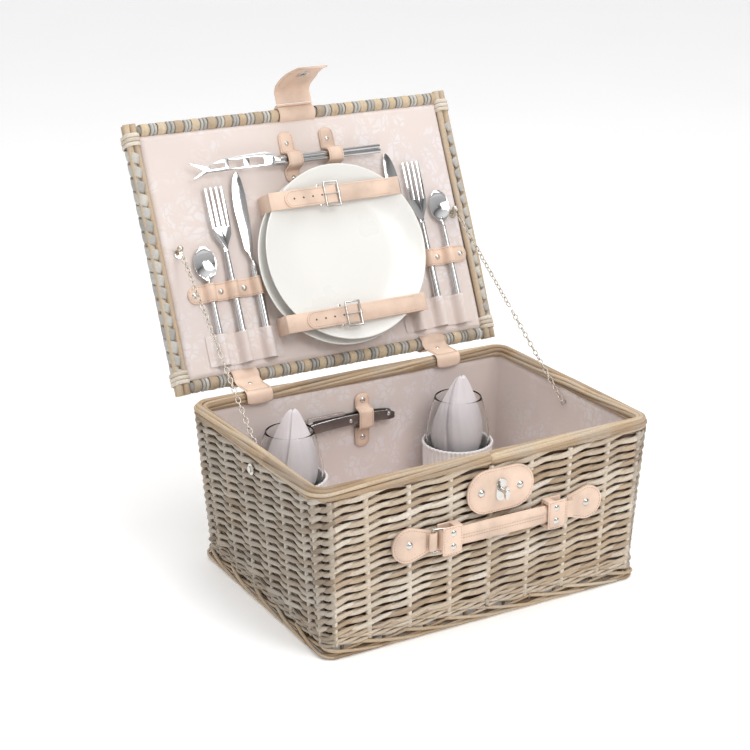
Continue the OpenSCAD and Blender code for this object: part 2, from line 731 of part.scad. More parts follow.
hasp_x = 4.5;
hasp_w = 44;
hasp_t = 2.2;
hasp_hinge = [300, -3];
slot_h = 32;
hasp_line = [[300.6, -3], [314, -3], [319, 3], [322, 14], [325, 32], [325, 50], [323, 64], [319, 75]];
module hasp_root() {
  color(LEATHER) on_lid() translate([hasp_x - hasp_w / 2, lid_l, 0]) rotate([90, 0, 90])
    linear_extrude(hasp_w) {
      translate([-lid_rod / 2, rod_h]) difference() {
        circle(roll_out);
        circle(roll_in);
      }
      translate([hasp_hinge.x - lid_l - 2.4, hasp_hinge.y - 5]) square([2, 6]);
      translate([hasp_hinge.x - lid_l - 3.4, hasp_hinge.y - 7]) square([2.4, 6]);
    }
}

module hasp_flap() {
  color(LEATHER) on_lid() difference() {
    intersection() {
      translate([hasp_x - hasp_w / 2, 0, 0]) rotate([90, 0, 90]) linear_extrude(hasp_w)
        polygon(concat([for (p = hasp_line) p - [0, hasp_t / 2] + [p[1] > 0 ? hasp_t / 2 : 0, 0]],
          [for (i = [len(hasp_line) - 1 : -1 : 0]) let (p = hasp_line[i])
            p + [p[1] > 0 ? -hasp_t / 2 : 0, p[1] > 0 ? 0 : hasp_t / 2]]));
      translate([hasp_x, 340, 0]) rotate([90, 0, 0]) linear_extrude(60) {
        polygon([[-hasp_w / 2, -10], [hasp_w / 2, -10], [hasp_w / 2, 20], [17, 56], [-17, 56], [-hasp_w / 2, 20]]);
        translate([0, 56]) circle(17.2);
      }
    }
    translate([hasp_x, 335, slot_h]) rotate([90, 0, 0]) linear_extrude(20) round_rect(7.4, 16, 3.6);
  }
}

module hasp_eyelet() {
  color(NICKEL) on_lid() translate([hasp_x, 327, slot_h]) rotate([90, 0, 0]) linear_extrude(4.4) difference() {
    round_rect(12, 21, 5.9);
    round_rect(6.4, 15, 3.1);
  }
}

basket_walls();
basket_base();
rim_border();
foot_border();
body_lining();
glass_pockets();
clasp_leather();
clasp_rivets();
staple_plate();
turn_button();
handle_tabs();
handle_tab_rivets();
d_ring_left();
d_ring_right();
handle_grip();
handle_end_caps();
handle_cap_rivets();
corkscrew_strap();
corkscrew_handle();
corkscrew_worm();
corkscrew_lever();
corkscrew_blade();
chain_eyebolts();
chain_left_lower();
chain_left_upper();
chain_right_lower();
chain_right_upper();
glass_left();
glass_right();
napkin_left();
napkin_right();
hinge_straps();
hinge_strap_rivets();
lid_panel();
lid_back_rod();
lid_front_rod();
lid_side_rods();
lid_lashings();
lid_lining();
cutlery_pockets();
cutlery_loops();
cheese_knife_loops();
lid_rivets();
plate_back();
plate_front();
plate_straps();
buckle_frames();
buckle_prong_upper();
buckle_prong_lower();
chain_ball_screws();
cheese_knife();
knife_left();
knife_right();
fork_left();
fork_right();
spoon_left();
spoon_right();
hasp_root();
hasp_flap();
hasp_eyelet();
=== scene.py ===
import json
import logging
import math
import random
from dataclasses import dataclass
from typing import Any, Callable, Iterable, Sequence

import bmesh
import bpy
from mathutils import Matrix, Vector

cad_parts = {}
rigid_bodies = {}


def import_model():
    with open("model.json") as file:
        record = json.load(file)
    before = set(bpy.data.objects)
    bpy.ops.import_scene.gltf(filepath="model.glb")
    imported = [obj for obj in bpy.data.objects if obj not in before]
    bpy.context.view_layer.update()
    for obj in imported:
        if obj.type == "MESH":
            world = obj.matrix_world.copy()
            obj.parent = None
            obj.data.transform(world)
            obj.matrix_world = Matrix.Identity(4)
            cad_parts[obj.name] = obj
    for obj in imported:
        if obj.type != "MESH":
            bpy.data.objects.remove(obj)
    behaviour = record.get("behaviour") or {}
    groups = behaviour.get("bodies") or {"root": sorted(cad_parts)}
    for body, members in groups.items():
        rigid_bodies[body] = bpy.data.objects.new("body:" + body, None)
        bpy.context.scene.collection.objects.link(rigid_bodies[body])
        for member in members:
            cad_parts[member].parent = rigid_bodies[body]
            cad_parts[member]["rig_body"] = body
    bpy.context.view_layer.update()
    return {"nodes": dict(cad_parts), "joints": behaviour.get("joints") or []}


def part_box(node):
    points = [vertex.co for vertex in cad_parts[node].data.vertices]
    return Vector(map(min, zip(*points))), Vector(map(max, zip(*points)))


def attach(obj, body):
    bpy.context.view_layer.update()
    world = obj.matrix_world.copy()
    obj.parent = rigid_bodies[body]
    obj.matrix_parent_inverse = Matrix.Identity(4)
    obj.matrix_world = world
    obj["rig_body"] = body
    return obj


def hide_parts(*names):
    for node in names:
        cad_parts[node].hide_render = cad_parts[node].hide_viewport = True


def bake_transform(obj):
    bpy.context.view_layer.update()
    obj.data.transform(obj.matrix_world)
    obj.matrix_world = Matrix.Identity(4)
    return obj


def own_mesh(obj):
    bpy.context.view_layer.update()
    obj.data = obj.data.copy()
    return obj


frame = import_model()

LOG = logging.getLogger("picnic_basket")
MM = 0.001
# Turns a plate that lies on z = 0 to face the front.
UPRIGHT = Matrix.Rotation(math.pi / 2, 4, "X")
Point = Sequence[float]
Colour = tuple[float, float, float]


# ---------------------------------------------------------------- places

@dataclass
class LidPlace:
    """The open lid's own coordinates: x across, u from the hinge edge, h out of the lining.

    Attributes:
        reach: From the hinge line to the lid's hinge edge, along the lid.
        drop: From the hinge line to the lid's inner plane, across it.
    """

    reach: float = 3.18 * MM
    drop: float = 3.17 * MM

    def matrix(self) -> Matrix:
        """Gives the matrix that carries lid coordinates to the open lid.

        Returns:
            The placing matrix.
        """
        hinge = next(j for j in frame["joints"] if j["name"] == "lid_hinge")
        slope = math.pi - math.radians(abs(hinge["range_deg"][0]))
        along = Vector((0, math.cos(slope), math.sin(slope)))
        out = Vector((0, -math.sin(slope), math.cos(slope)))
        origin = Vector(hinge["pos_m"]) + along * self.reach - out * self.drop
        return Matrix.Translation(origin) @ Matrix.Rotation(slope, 4, "X")

    def box(self, node: str) -> tuple[Vector, Vector]:
        """Measures a CAD node in lid coordinates.

        Args:
            node: The node's name.

        Returns:
            Its lowest and highest corners.
        """
        back = self.matrix().inverted()
        points = [back @ v.co for v in frame["nodes"][node].data.vertices]
        low = Vector([min(p[i] for p in points) for i in range(3)])
        high = Vector([max(p[i] for p in points) for i in range(3)])
        return low, high


LID = LidPlace()
LID_M = LID.matrix()
LID_ACROSS = (LID_M.to_3x3() @ Vector((1, 0, 0))).normalized()
LID_UP = (LID_M.to_3x3() @ Vector((0, 1, 0))).normalized()
LID_OUT = (LID_M.to_3x3() @ Vector((0, 0, 1))).normalized()


def middle(node: str) -> Vector:
    """Gives the middle of a CAD node's box.

    Args:
        node: The node's name.

    Returns:
        The middle point.
    """
    low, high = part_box(node)
    return (low + high) / 2


def lid_middle(node: str) -> Vector:
    """Gives the middle of a CAD node's box in lid coordinates.

    Args:
        node: The node's name.

    Returns:
        The middle point.
    """
    low, high = LID.box(node)
    return (low + high) / 2


# ---------------------------------------------------------------- meshes

class Shape:
    """A growing mesh with a rod attribute: length along, turn around and a tone, which is random and on the
    wall rods also darkened as painted shade behind the stakes.
    """

    def __init__(self) -> None:
        """Starts an empty shape."""
        self.points: list[Vector] = []
        self.faces: list[tuple[int, ...]] = []
        self.marks: list[tuple[float, float, float]] = []

    def ring(self, points: Iterable[Point],
             mark: Callable[[int], tuple[float, float, float]] | None = None) -> int:
        """Adds a run of points.

        Args:
            points: The points.
            mark: Gives each point's rod attribute from its place in the run.

        Returns:
            The number of the run's first point.
        """
        first = len(self.points)
        for i, p in enumerate(points):
            self.points.append(Vector(p))
            self.marks.append(mark(i) if mark else (0.0, 0.0, 0.5))
        return first

    def bridge(self, a: int, b: int, count: int, closed: bool = True) -> None:
        """Joins two runs of the same length with faces.

        Args:
            a: First point of one run.
            b: First point of the other run.
            count: Points in each run.
            closed: Whether the runs close on themselves.
        """
        for i in range(count if closed else count - 1):
            j = (i + 1) % count
            self.faces.append((a + i, a + j, b + j, b + i))

    def cap(self, first: int, count: int, flip: bool = False) -> None:
        """Closes a run with one face.

        Args:
            first: First point of the run.
            count: Points in the run.
            flip: Whether the face looks the other way.
        """
        loop = tuple(range(first, first + count))
        self.faces.append(loop[::-1] if flip else loop)

    def tube(self, path: Sequence[Vector], radius: float | Callable[[float], float], sides: int = 8,
             flat: float = 1.0, up: Vector | None = None, closed: bool = False,
             tone: float | Callable[[float], float] = 0.5) -> None:
        """Sweeps an oval along a path.

        Args:
            path: The centreline.
            radius: The radius, or the radius at a share of the length.
            sides: Points round the oval.
            flat: Height of the oval over its width, where its width lies along up.
            up: The direction that the oval's width keeps to.
            closed: Whether the path closes on itself.
            tone: The rod's random tone, or the tone at a share of the length.
        """
        count = len(path)
        normal = up.copy() if up else Vector((0, 0, 1))
        first = last = -1
        travelled = 0.0
        for k in range(count):
            before = path[(k - 1) % count] if closed or k > 0 else path[k]
            after = path[(k + 1) % count] if closed or k < count - 1 else path[k]
            tangent = (after - before).normalized()
            if k > 0:
                travelled += (path[k] - path[k - 1]).length
            reference = up if up else normal
            side = reference - tangent * reference.dot(tangent)
            if side.length < 1e-6:
                side = tangent.orthogonal()
            normal = side.normalized()
            across = tangent.cross(normal)
            share = k / (count if closed else max(1, count - 1))
            r = radius(share) if callable(radius) else radius
            hue = tone(share) if callable(tone) else tone
            turns = [math.tau * i / sides for i in range(sides)]
            start = self.ring(
                [path[k] + normal * (r * math.cos(t)) + across * (r * flat * math.sin(t)) for t in turns],
                lambda i, along=travelled, hue=hue: (along, abs(2 * i / sides - 1), hue))
            if last >= 0:
                self.bridge(last, start, sides)
            else:
                first = start
            last = start
        if closed:
            self.bridge(last, first, sides)
        else:
            self.cap(first, sides, flip=True)
            self.cap(last, sides)

    def lathe(self, profile: Sequence[tuple[float, float]], place: Matrix, sides: int = 48,
              wave: Callable[[float, float], float] | None = None) -> None:
        """Turns a profile about an axis.

        Args:
            profile: Radius and height of each point.
            place: Carries the axis from Z to where it stands.
            sides: Points round the axis.
            wave: Scales the radius at a turn and a height.
        """
        last = -1
        for k, (r, z) in enumerate(profile):
            size = max(r, 1e-6)
            start = self.ring(
                [place @ Vector((size * (wave(t, z) if wave else 1) * math.cos(t),
                                 size * (wave(t, z) if wave else 1) * math.sin(t), z))
                 for t in (math.tau * i / sides for i in range(sides))],
                lambda i, k=k: (k * MM, i / sides, 0.5))
            if last >= 0:
                self.bridge(last, start, sides)
            last = start

    def grid(self, rows: Sequence[Sequence[Vector]], closed: bool = False) -> None:
        """Joins rows of points into a sheet.

        Args:
            rows: Rows of the same length.
            closed: Whether each row closes on itself.
        """
        last = -1
        for row in rows:
            start = self.ring(row)
            if last >= 0:
                self.bridge(last, start, len(row), closed)
            last = start

    def move(self, place: Matrix) -> "Shape":
        """Carries all points.

        Args:
            place: The matrix that carries them.

        Returns:
            This shape.
        """
        self.points = [place @ p for p in self.points]
        return self

    def join(self, other: "Shape") -> None:
        """Adds another shape's points and faces.

        Args:
            other: The shape to add.
        """
        first = len(self.points)
        self.points += other.points
        self.marks += other.marks
        self.faces += [tuple(i + first for i in f) for f in other.faces]

    def mesh(self, name: str) -> bpy.types.Mesh:
        """Makes the Blender mesh.

        Args:
            name: The mesh's name.

        Returns:
            The mesh, welded and with even normals.
        """
        data = bpy.data.meshes.new(name)
        data.from_pydata([p[:] for p in self.points], [], self.faces)
        rod = data.attributes.new("rod", "FLOAT_VECTOR", "POINT")
        rod.data.foreach_set("vector", [x for m in self.marks for x in m])
        work = bmesh.new()
        work.from_mesh(data)
        bmesh.ops.remove_doubles(work, verts=work.verts, dist=1e-6)
        bmesh.ops.recalc_face_normals(work, faces=work.faces)
        work.to_mesh(data)
        work.free()
        return data


def slab(outlines: Sequence[Sequence[tuple[float, float]]], thickness: float, bevel: float,
         steps: int = 2) -> Shape:
    """Makes a flat plate with rounded edges from outlines, lying on z = 0.

    Args:
        outlines: The outer outline first, then any holes.
        thickness: The plate's thickness.
        bevel: Radius of its edges.
        steps: Steps in each rounded edge.

    Returns:
        The plate.
    """
    curve = bpy.data.curves.new("outline", "CURVE")
    curve.dimensions = "2D"
    curve.fill_mode = "BOTH"
    curve.extrude = thickness / 2 - bevel
    curve.bevel_depth = bevel
    curve.offset = -bevel
    curve.bevel_resolution = steps
    for outline in outlines:
        spline = curve.splines.new("POLY")
        spline.points.add(len(outline) - 1)
        for point, (x, y) in zip(spline.points, outline):
            point.co = (x, y, 0, 1)
        spline.use_cyclic_u = True
    holder = bpy.data.objects.new("outline", curve)
    data = bpy.data.meshes.new_from_object(holder)
    shape = Shape()
    shape.ring([v.co + Vector((0, 0, thickness / 2)) for v in data.vertices])
    shape.faces = [tuple(p.vertices) for p in data.polygons]
    bpy.data.objects.remove(holder)
    bpy.data.curves.remove(curve)
    bpy.data.meshes.remove(data)
    return shape


def arc(cx: float, cy: float, r: float, start: float, end: float,
        count: int = 12) -> list[tuple[float, float]]:
    """Gives points along an arc.

    Args:
        cx: Centre's first coordinate.
        cy: Centre's second coordinate.
        r: Radius.
        start: First angle in degrees.
        end: Last angle in degrees.
        count: Steps.

    Returns:
        The points.
    """
    angles = [math.radians(start + (end - start) * i / count) for i in range(count + 1)]
    return [(cx + r * math.cos(a), cy + r * math.sin(a)) for a in angles]


def rounded(w: float, d: float, r: float, count: int = 8) -> list[tuple[float, float]]:
    """Gives a rounded rectangle's outline about the origin.

    Args:
        w: Width.
        d: Depth.
        r: Corner radius.
        count: Steps in each corner.

    Returns:
        The outline.
    """
    x, y = w / 2 - r, d / 2 - r
    return (arc(x, y, r, 0, 90, count) + arc(-x, y, r, 90, 180, count)
            + arc(-x, -y, r, 180, 270, count) + arc(x, -y, r, 270, 360, count))


class Loop:
    """A closed rounded rectangle that is walked by length."""

    def __init__(self, half_x: float, half_y: float, corner: float) -> None:
        """Lays out the loop, starting at the middle of the front and going towards +X.

        Args:
            half_x: Half its width.
            half_y: Half its depth.
            corner: Its corner radius.
        """
        self.x, self.y, self.r = half_x, half_y, corner
        bend = corner * math.pi / 2
        self.runs = [half_x - corner, bend, 2 * (half_y - corner), bend, 2 * (half_x - corner), bend,
                     2 * (half_y - corner), bend, half_x - corner]
        self.length = sum(self.runs)

    def at(self, share: float) -> tuple[Vector, Vector]:
        """Gives a point on the loop and its outward direction.

        Args:
            share: Share of the whole length.

        Returns:
            The point and the direction, at z = 0.
        """
        s = (share % 1.0) * self.length
        x, y, r = self.x, self.y, self.r
        corners = [(x - r, -y + r, -90), (x - r, y - r, 0), (-x + r, y - r, 90), (-x + r, -y + r, 180)]
        starts = [((0, -y), (1, 0)), ((x, -y + r), (0, 1)), ((x - r, y), (-1, 0)),
                  ((-x, y - r), (0, -1)), ((-x + r, -y), (1, 0))]
        for k, run in enumerate(self.runs):
            if s <= run or k == len(self.runs) - 1:
                break
            s -= run
        if k % 2 == 0:
            (px, py), (dx, dy) = starts[k // 2]
            return Vector((px + dx * s, py + dy * s, 0)), Vector((dy, -dx, 0))
        cx, cy, turn = corners[k // 2]
        a = math.radians(turn) + s / r
        out = Vector((math.cos(a), math.sin(a), 0))
        return Vector((cx, cy, 0)) + out * r, out


def piece(shape: Shape, name: str, material: bpy.types.Material, body: str,
          replaces: Sequence[str] = (), smooth: bool = True, subdivide: int = 0) -> bpy.types.Object:
    """Turns a shape into a finished piece of the basket.

    Args:
        shape: The shape, in the frame's coordinates.
        name: The piece's name.
        material: Its finish.
        body: The CAD body that it moves with.
        replaces: The CAD nodes that it stands for.
        smooth: Whether its faces are shaded smooth.
        subdivide: Levels of subdivision that are applied.

    Returns:
        The object.
    """
    data = shape.mesh(name)
    if smooth:
        data.polygons.foreach_set("use_smooth", [True] * len(data.polygons))
    data.materials.append(material)
    made = bpy.data.objects.new(name, data)
    bpy.context.scene.collection.objects.link(made)
    if subdivide:
        modifier = made.modifiers.new("smooth", "SUBSURF")
        modifier.levels = modifier.render_levels = subdivide
        apply_modifiers(made)
    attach(made, body)
    if replaces:
        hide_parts(*replaces)
    LOG.info("%s: %d faces", name, len(made.data.polygons))
    return made


def apply_modifiers(made: bpy.types.Object) -> None:
    """Writes an object's modifiers into its mesh.

    Args:
        made: The object.
    """
    bpy.context.view_layer.update()
    graph = bpy.context.evaluated_depsgraph_get()
    data = bpy.data.meshes.new_from_object(made.evaluated_get(graph))
    made.modifiers.clear()
    made.data = data


# ---------------------------------------------------------------- shader tools

@dataclass(frozen=True)
class Val:
    """A number on a node's socket, on which arithmetic adds Math nodes."""

    paint: "Paint"
    socket: bpy.types.NodeSocket

    def math(self, operation: str, first: "Val | float", second: "Val | float" = 0.0) -> "Val":
        """Adds a Math node.

        Args:
            operation: Its operation.
            first: Its first value.
            second: Its second value.

        Returns:
            Its result.
        """
        made = self.paint.node("ShaderNodeMath", {"operation": operation}, {0: first, 1: second})
        return Val(self.paint, made.outputs[0])

    def __add__(self, other: "Val | float") -> "Val":
        """Adds."""
        return self.math("ADD", self, other)

    __radd__ = __add__

    def __sub__(self, other: "Val | float") -> "Val":
        """Subtracts."""
        return self.math("SUBTRACT", self, other)

    def __rsub__(self, other: "Val | float") -> "Val":
        """Subtracts from a number."""
        return self.math("SUBTRACT", other, self)

    def __mul__(self, other: "Val | float") -> "Val":
        """Multiplies."""
        return self.math("MULTIPLY", self, other)

    __rmul__ = __mul__

    def __pow__(self, other: "Val | float") -> "Val":
        """Raises to a power."""
        return self.math("POWER", self, other)

    def clamp(self) -> "Val":
        """Keeps the value from 0 to 1."""
        return self.math("MAXIMUM", self.math("MINIMUM", self, 1.0), 0.0)


class Paint:
    """A material under construction around one Principled shader."""

    def __init__(self, name: str, **fixed: Any) -> None:
        """Starts a material.

        Args:
            name: The material's name.
            **fixed: Constant values of the shader's sockets, with underscores for spaces.
        """
        self.material = bpy.data.materials.new(name)
        self.material.use_nodes = True
        self.tree = self.material.node_tree
        self.tree.nodes.clear()
        self.shader = self.node("ShaderNodeBsdfPrincipled")
        self.out = self.node("ShaderNodeOutputMaterial", {}, {"Surface": self.shader.outputs[0]})
        for key, value in fixed.items():
            self.shader.inputs[key.replace("_", " ")].default_value = value

    def node(self, kind: str, settings: dict[str, Any] | None = None,
             inputs: dict[Any, Any] | None = None) -> bpy.types.Node:
        """Adds a node.

        Args:
            kind: The node's type.
            settings: Its settings; stops sets a ramp's stops.
            inputs: Values or links of its sockets.

        Returns:
            The node.
        """
        made = self.tree.nodes.new(kind)
        for key, value in (settings or {}).items():
            if key == "stops":
                ramp = made.color_ramp
                while len(ramp.elements) < len(value):
                    ramp.elements.new(0.5)
                for element, (place, colour) in zip(ramp.elements, value):
                    element.position = place
                    element.color = (*colour, 1.0)
            else:
                setattr(made, key, value)
        for key, value in (inputs or {}).items():
            socket = made.inputs[key]
            if isinstance(value, Val):
                self.tree.links.new(value.socket, socket)
            elif isinstance(value, bpy.types.NodeSocket):
                self.tree.links.new(value, socket)
            elif value is not None:
                socket.default_value = value
        return made

    def val(self, made: bpy.types.Node, output: int | str = 0) -> Val:
        """Wraps a node's output for arithmetic."""
        return Val(self, made.outputs[output])

    def places(self) -> bpy.types.NodeSocket:
        """Gives the surface's own coordinates."""
        return self.node("ShaderNodeTexCoord").outputs["Object"]

    def noise(self, scale: float, detail: float = 3.0, vector: Any = None, rough: float = 0.5) -> Val:
        """Adds a noise.

        Args:
            scale: Its scale.
            detail: Its detail.
            vector: Where it is read, or the surface's own coordinates.
            rough: Its roughness.

        Returns:
            The noise's value.
        """
        made = self.node("ShaderNodeTexNoise", {}, {
            "Vector": vector if vector is not None else self.places(),
            "Scale": scale, "Detail": detail, "Roughness": rough})
        return self.val(made)

    def ramp(self, value: Val, stops: Sequence[tuple[float, Colour]]) -> bpy.types.NodeSocket:
        """Adds a colour ramp.

        Args:
            value: Its input.
            stops: Its places and colours.

        Returns:
            The colour.
        """
        return self.node("ShaderNodeValToRGB", {"stops": stops}, {0: value}).outputs[0]

    def mask(self, value: Val, low: float, high: float) -> Val:
        """Stretches a value so that low becomes 0 and high becomes 1."""
        made = self.node("ShaderNodeMapRange", {"clamp": True},
                         {0: value, 1: low, 2: high, 3: 0.0, 4: 1.0})
        return self.val(made)

    def mix(self, factor: Any, a: Any, b: Any, blend: str = "MIX") -> bpy.types.NodeSocket:
        """Mixes two colours.

        Args:
            factor: The share of the second.
            a: The first colour.
            b: The second colour.
            blend: How they mix.

        Returns:
            The colour.
        """
        def full(colour: Any) -> Any:
            """Adds alpha to a plain colour."""
            return (*colour, 1.0) if isinstance(colour, tuple) else colour
        made = self.node("ShaderNodeMix", {"data_type": "RGBA", "blend_type": blend},
                         {0: factor, 6: full(a), 7: full(b)})
        return made.outputs[2]

    def bump(self, height: Val, strength: float, distance: float) -> None:
        """Feeds a height into the shader's normal.

        Args:
            height: The height.
            strength: How strongly it acts.
            distance: The height of a full step in metres.
        """
        made = self.node("ShaderNodeBump", {},
                         {"Height": height, "Strength": strength, "Distance": distance})
        self.set("Normal", made.outputs[0])

    def set(self, name: str, value: Any) -> None:
        """Links or sets a socket of the shader.

        Args:
            name: The socket's name.
            value: A link or a value.
        """
        socket = value.socket if isinstance(value, Val) else value
        if isinstance(socket, bpy.types.NodeSocket):
            self.tree.links.new(socket, self.shader.inputs[name])
        else:
            self.shader.inputs[name].default_value = value


# ---------------------------------------------------------------- finishes

@dataclass(frozen=True)
class Willow:
    """Greyed willow rods, coloured by the rod attribute.

    Attributes:
        name: The material's name.
        tones: The colours from the darkest rod to the palest.
        grey: How much grey wash lies on the rods.
    """

    name: str
    tones: tuple[Colour, ...]
    grey: float = 0.25

    def make(self) -> bpy.types.Material:
        """Builds the material.

        Returns:
            The material.
        """
        paint = Paint(self.name, Specular_IOR_Level=0.3)
        rod = paint.node("ShaderNodeAttribute", {"attribute_name": "rod"}).outputs["Vector"]
        parts = paint.node("ShaderNodeSeparateXYZ", {}, {0: rod})
        along, tone = paint.val(parts, "X"), paint.val(parts, "Z")
        shifted = paint.node("ShaderNodeCombineXYZ", {}, {
            "X": along * 14.0, "Y": paint.val(parts, "Y") * 3.5, "Z": tone * 37.0}).outputs[0]
        streak = paint.noise(1.0, 4.0, shifted, 0.6)
        fine = paint.noise(420.0, 2.0)
        patch = paint.noise(26.0, 3.0)
        last = len(self.tones) - 1
        # The rod attribute's tone is random, and on the wall rods it also holds painted shade behind the
        # stakes.
        level = (tone * 0.72 + streak * 0.5 - 0.11).clamp()
        colour = paint.ramp(level, [(i / last, t) for i, t in enumerate(self.tones)])
        wash = paint.mask(patch, 0.42, 0.68) * self.grey
        colour = paint.mix(wash, colour, (0.47, 0.45, 0.42))
        grain = paint.mask(fine, 0.3, 0.7)
        colour = paint.mix((1.0 - grain) * 0.22, colour, (0.23, 0.17, 0.12))
        paint.set("Base Color", colour)
        paint.set("Roughness", 0.6 + streak * 0.22)
        paint.bump(streak * 0.7 + fine * 0.3, 0.5, 0.0006)
        return paint.material


@dataclass(frozen=True)
class Cotton:
    """Cotton with a faint pale flower print.

    Attributes:
        name: The material's name.
        ground: The cloth's colour.
        print: The print's colour.
        strength: How strongly the print shows.
    """

    name: str
    ground: Colour
    print: Colour
    strength: float = 0.8

    def make(self) -> bpy.types.Material:
        """Builds the material.

        Returns:
            The material.
        """
        paint = Paint(self.name, Specular_IOR_Level=0.15, Sheen_Weight=0.25, Sheen_Roughness=0.5)
        places = paint.places()
        warp = paint.node("ShaderNodeTexNoise", {}, {"Vector": places, "Scale": 24.0, "Detail": 3.0})
        bent = paint.node("ShaderNodeVectorMath", {"operation": "MULTIPLY_ADD"}, {
            0: warp.outputs["Color"], 1: (0.05, 0.05, 0.05), 2: places}).outputs[0]
        petals = paint.node("ShaderNodeTexVoronoi", {"feature": "SMOOTH_F1"}, {
            "Vector": bent, "Scale": 44.0, "Smoothness": 0.35})
        veins = paint.node("ShaderNodeTexVoronoi", {"feature": "DISTANCE_TO_EDGE"}, {
            "Vector": bent, "Scale": 105.0})
        bloom = paint.noise(11.0, 1.0)
        flower = paint.mask(paint.val(petals, "Distance"), 0.62, 0.42)
        leaf = paint.mask(paint.val(veins, "Distance"), 0.06, 0.16)
        shown = (flower * leaf * paint.mask(bloom, 0.38, 0.56) * self.strength).clamp()
        colour = paint.mix(shown, self.ground, self.print)
        mottle = paint.noise(9.0, 3.0)
        colour = paint.mix(paint.mask(mottle, 0.45, 0.75) * 0.35, colour, (0.60, 0.53, 0.56))
        paint.set("Base Color", colour)
        thread = paint.node("ShaderNodeTexWave", {"bands_direction": "Z"}, {
            "Vector": places, "Scale": 620.0, "Distortion": 0.4})
        cross = paint.node("ShaderNodeTexWave", {"bands_direction": "X"}, {
            "Vector": places, "Scale": 620.0, "Distortion": 0.4})
        paint.set("Roughness", 0.82 + mottle * 0.1)
        paint.bump(paint.val(thread, 1) + paint.val(cross, 1) + mottle * 2.0, 0.25, 0.0003)
        return paint.material


@dataclass(frozen=True)
class Leather:
    """Smooth vegetable-tanned leather.

    Attributes:
        name: The material's name.
        colour: Its colour.
    """

    name: str
    colour: Colour

    def make(self) -> bpy.types.Material:
        """Builds the material.

        Returns:
            The material.
        """
        paint = Paint(self.name, Specular_IOR_Level=0.35)
        patch = paint.noise(30.0, 4.0)
        pores = paint.node("ShaderNodeTexVoronoi", {"feature": "F1"}, {
            "Vector": paint.places(), "Scale": 900.0})
        speck = paint.noise(700.0, 2.0)
        darker = tuple(c * 0.80 for c in self.colour)
        paler = tuple(min(1.0, c * 1.13) for c in self.colour)
        colour = paint.ramp(paint.mask(patch, 0.3, 0.7), [(0.0, darker), (0.5, self.colour), (1.0, paler)])
        colour = paint.mix(paint.mask(speck, 0.6, 0.75) * 0.25, colour, tuple(c * 0.6 for c in self.colour))
        paint.set("Base Color", colour)
        paint.set("Roughness", 0.45 + patch * 0.2)
        paint.bump(paint.val(pores, "Distance") + speck * 0.5, 0.2, 0.0002)
        return paint.material


@dataclass(frozen=True)
class Metal:
    """Plated or polished metal.

    Attributes:
        name: The material's name.
        colour: Its colour.
        rough: Its roughness.
        dull: Colour of its tarnish.
    """

    name: str
    colour: Colour
    rough: float
    dull: Colour

    def make(self) -> bpy.types.Material:
        """Builds the material.

        Returns:
            The material.
        """
        paint = Paint(self.name, Metallic=1.0)
        patch = paint.noise(60.0, 3.0)
        scratch = paint.node("ShaderNodeTexNoise", {}, {
            "Vector": paint.node("ShaderNodeMapping", {}, {
                "Vector": paint.places(), "Scale": (90.0, 90.0, 1500.0)}).outputs[0],
            "Scale": 1.0, "Detail": 2.0})
        colour = paint.mix(paint.mask(patch, 0.55, 0.8) * 0.5, self.colour, self.dull)
        paint.set("Base Color", colour)
        paint.set("Roughness", paint.val(scratch) * 0.04 + patch * 0.04 + self.rough)
        paint.bump(paint.val(scratch), 0.02, 0.00003)
        return paint.material


@dataclass(frozen=True)
class Glaze:
    """Glazed white porcelain.

    Attributes:
        name: The material's name.
        colour: Its colour.
    """

    name: str
    colour: Colour

    def make(self) -> bpy.types.Material:
        """Builds the material.

        Returns:
            The material.
        """
        paint = Paint(self.name, Coat_Weight=0.4, Coat_Roughness=0.12, Specular_IOR_Level=0.45)
        patch = paint.noise(18.0, 3.0)
        speck = paint.noise(900.0, 1.0)
        colour = paint.mix(patch * 0.6, self.colour, tuple(c * 0.97 for c in self.colour))
        colour = paint.mix(paint.mask(speck, 0.74, 0.8) * 0.12, colour, (0.55, 0.52, 0.48))
        paint.set("Base Color", colour)
        paint.set("Roughness", 0.26 + patch * 0.04)
        paint.bump(speck, 0.03, 0.00005)
        return paint.material


@dataclass(frozen=True)
class ClearGlass:
    """Thin clear drinking glass.

    Attributes:
        name: The material's name.
    """

    name: str

    def make(self) -> bpy.types.Material:
        """Builds the material.

        Returns:
            The material.
        """
        paint = Paint(self.name, Transmission_Weight=1.0, IOR=1.2, Specular_IOR_Level=0.9)
        smear = paint.noise(40.0, 3.0)
        paint.set("Base Color", paint.mix(smear, (0.985, 0.99, 0.99), (0.95, 0.965, 0.965)))
        paint.set("Roughness", paint.mask(smear, 0.5, 0.9) * 0.05)
        paint.bump(smear, 0.03, 0.0004)
        return paint.material


WILLOW = Willow("willow",
                ((0.25, 0.145, 0.075), (0.50, 0.385, 0.27), (0.69, 0.60, 0.49), (0.84, 0.79, 0.71)),
                0.2).make()
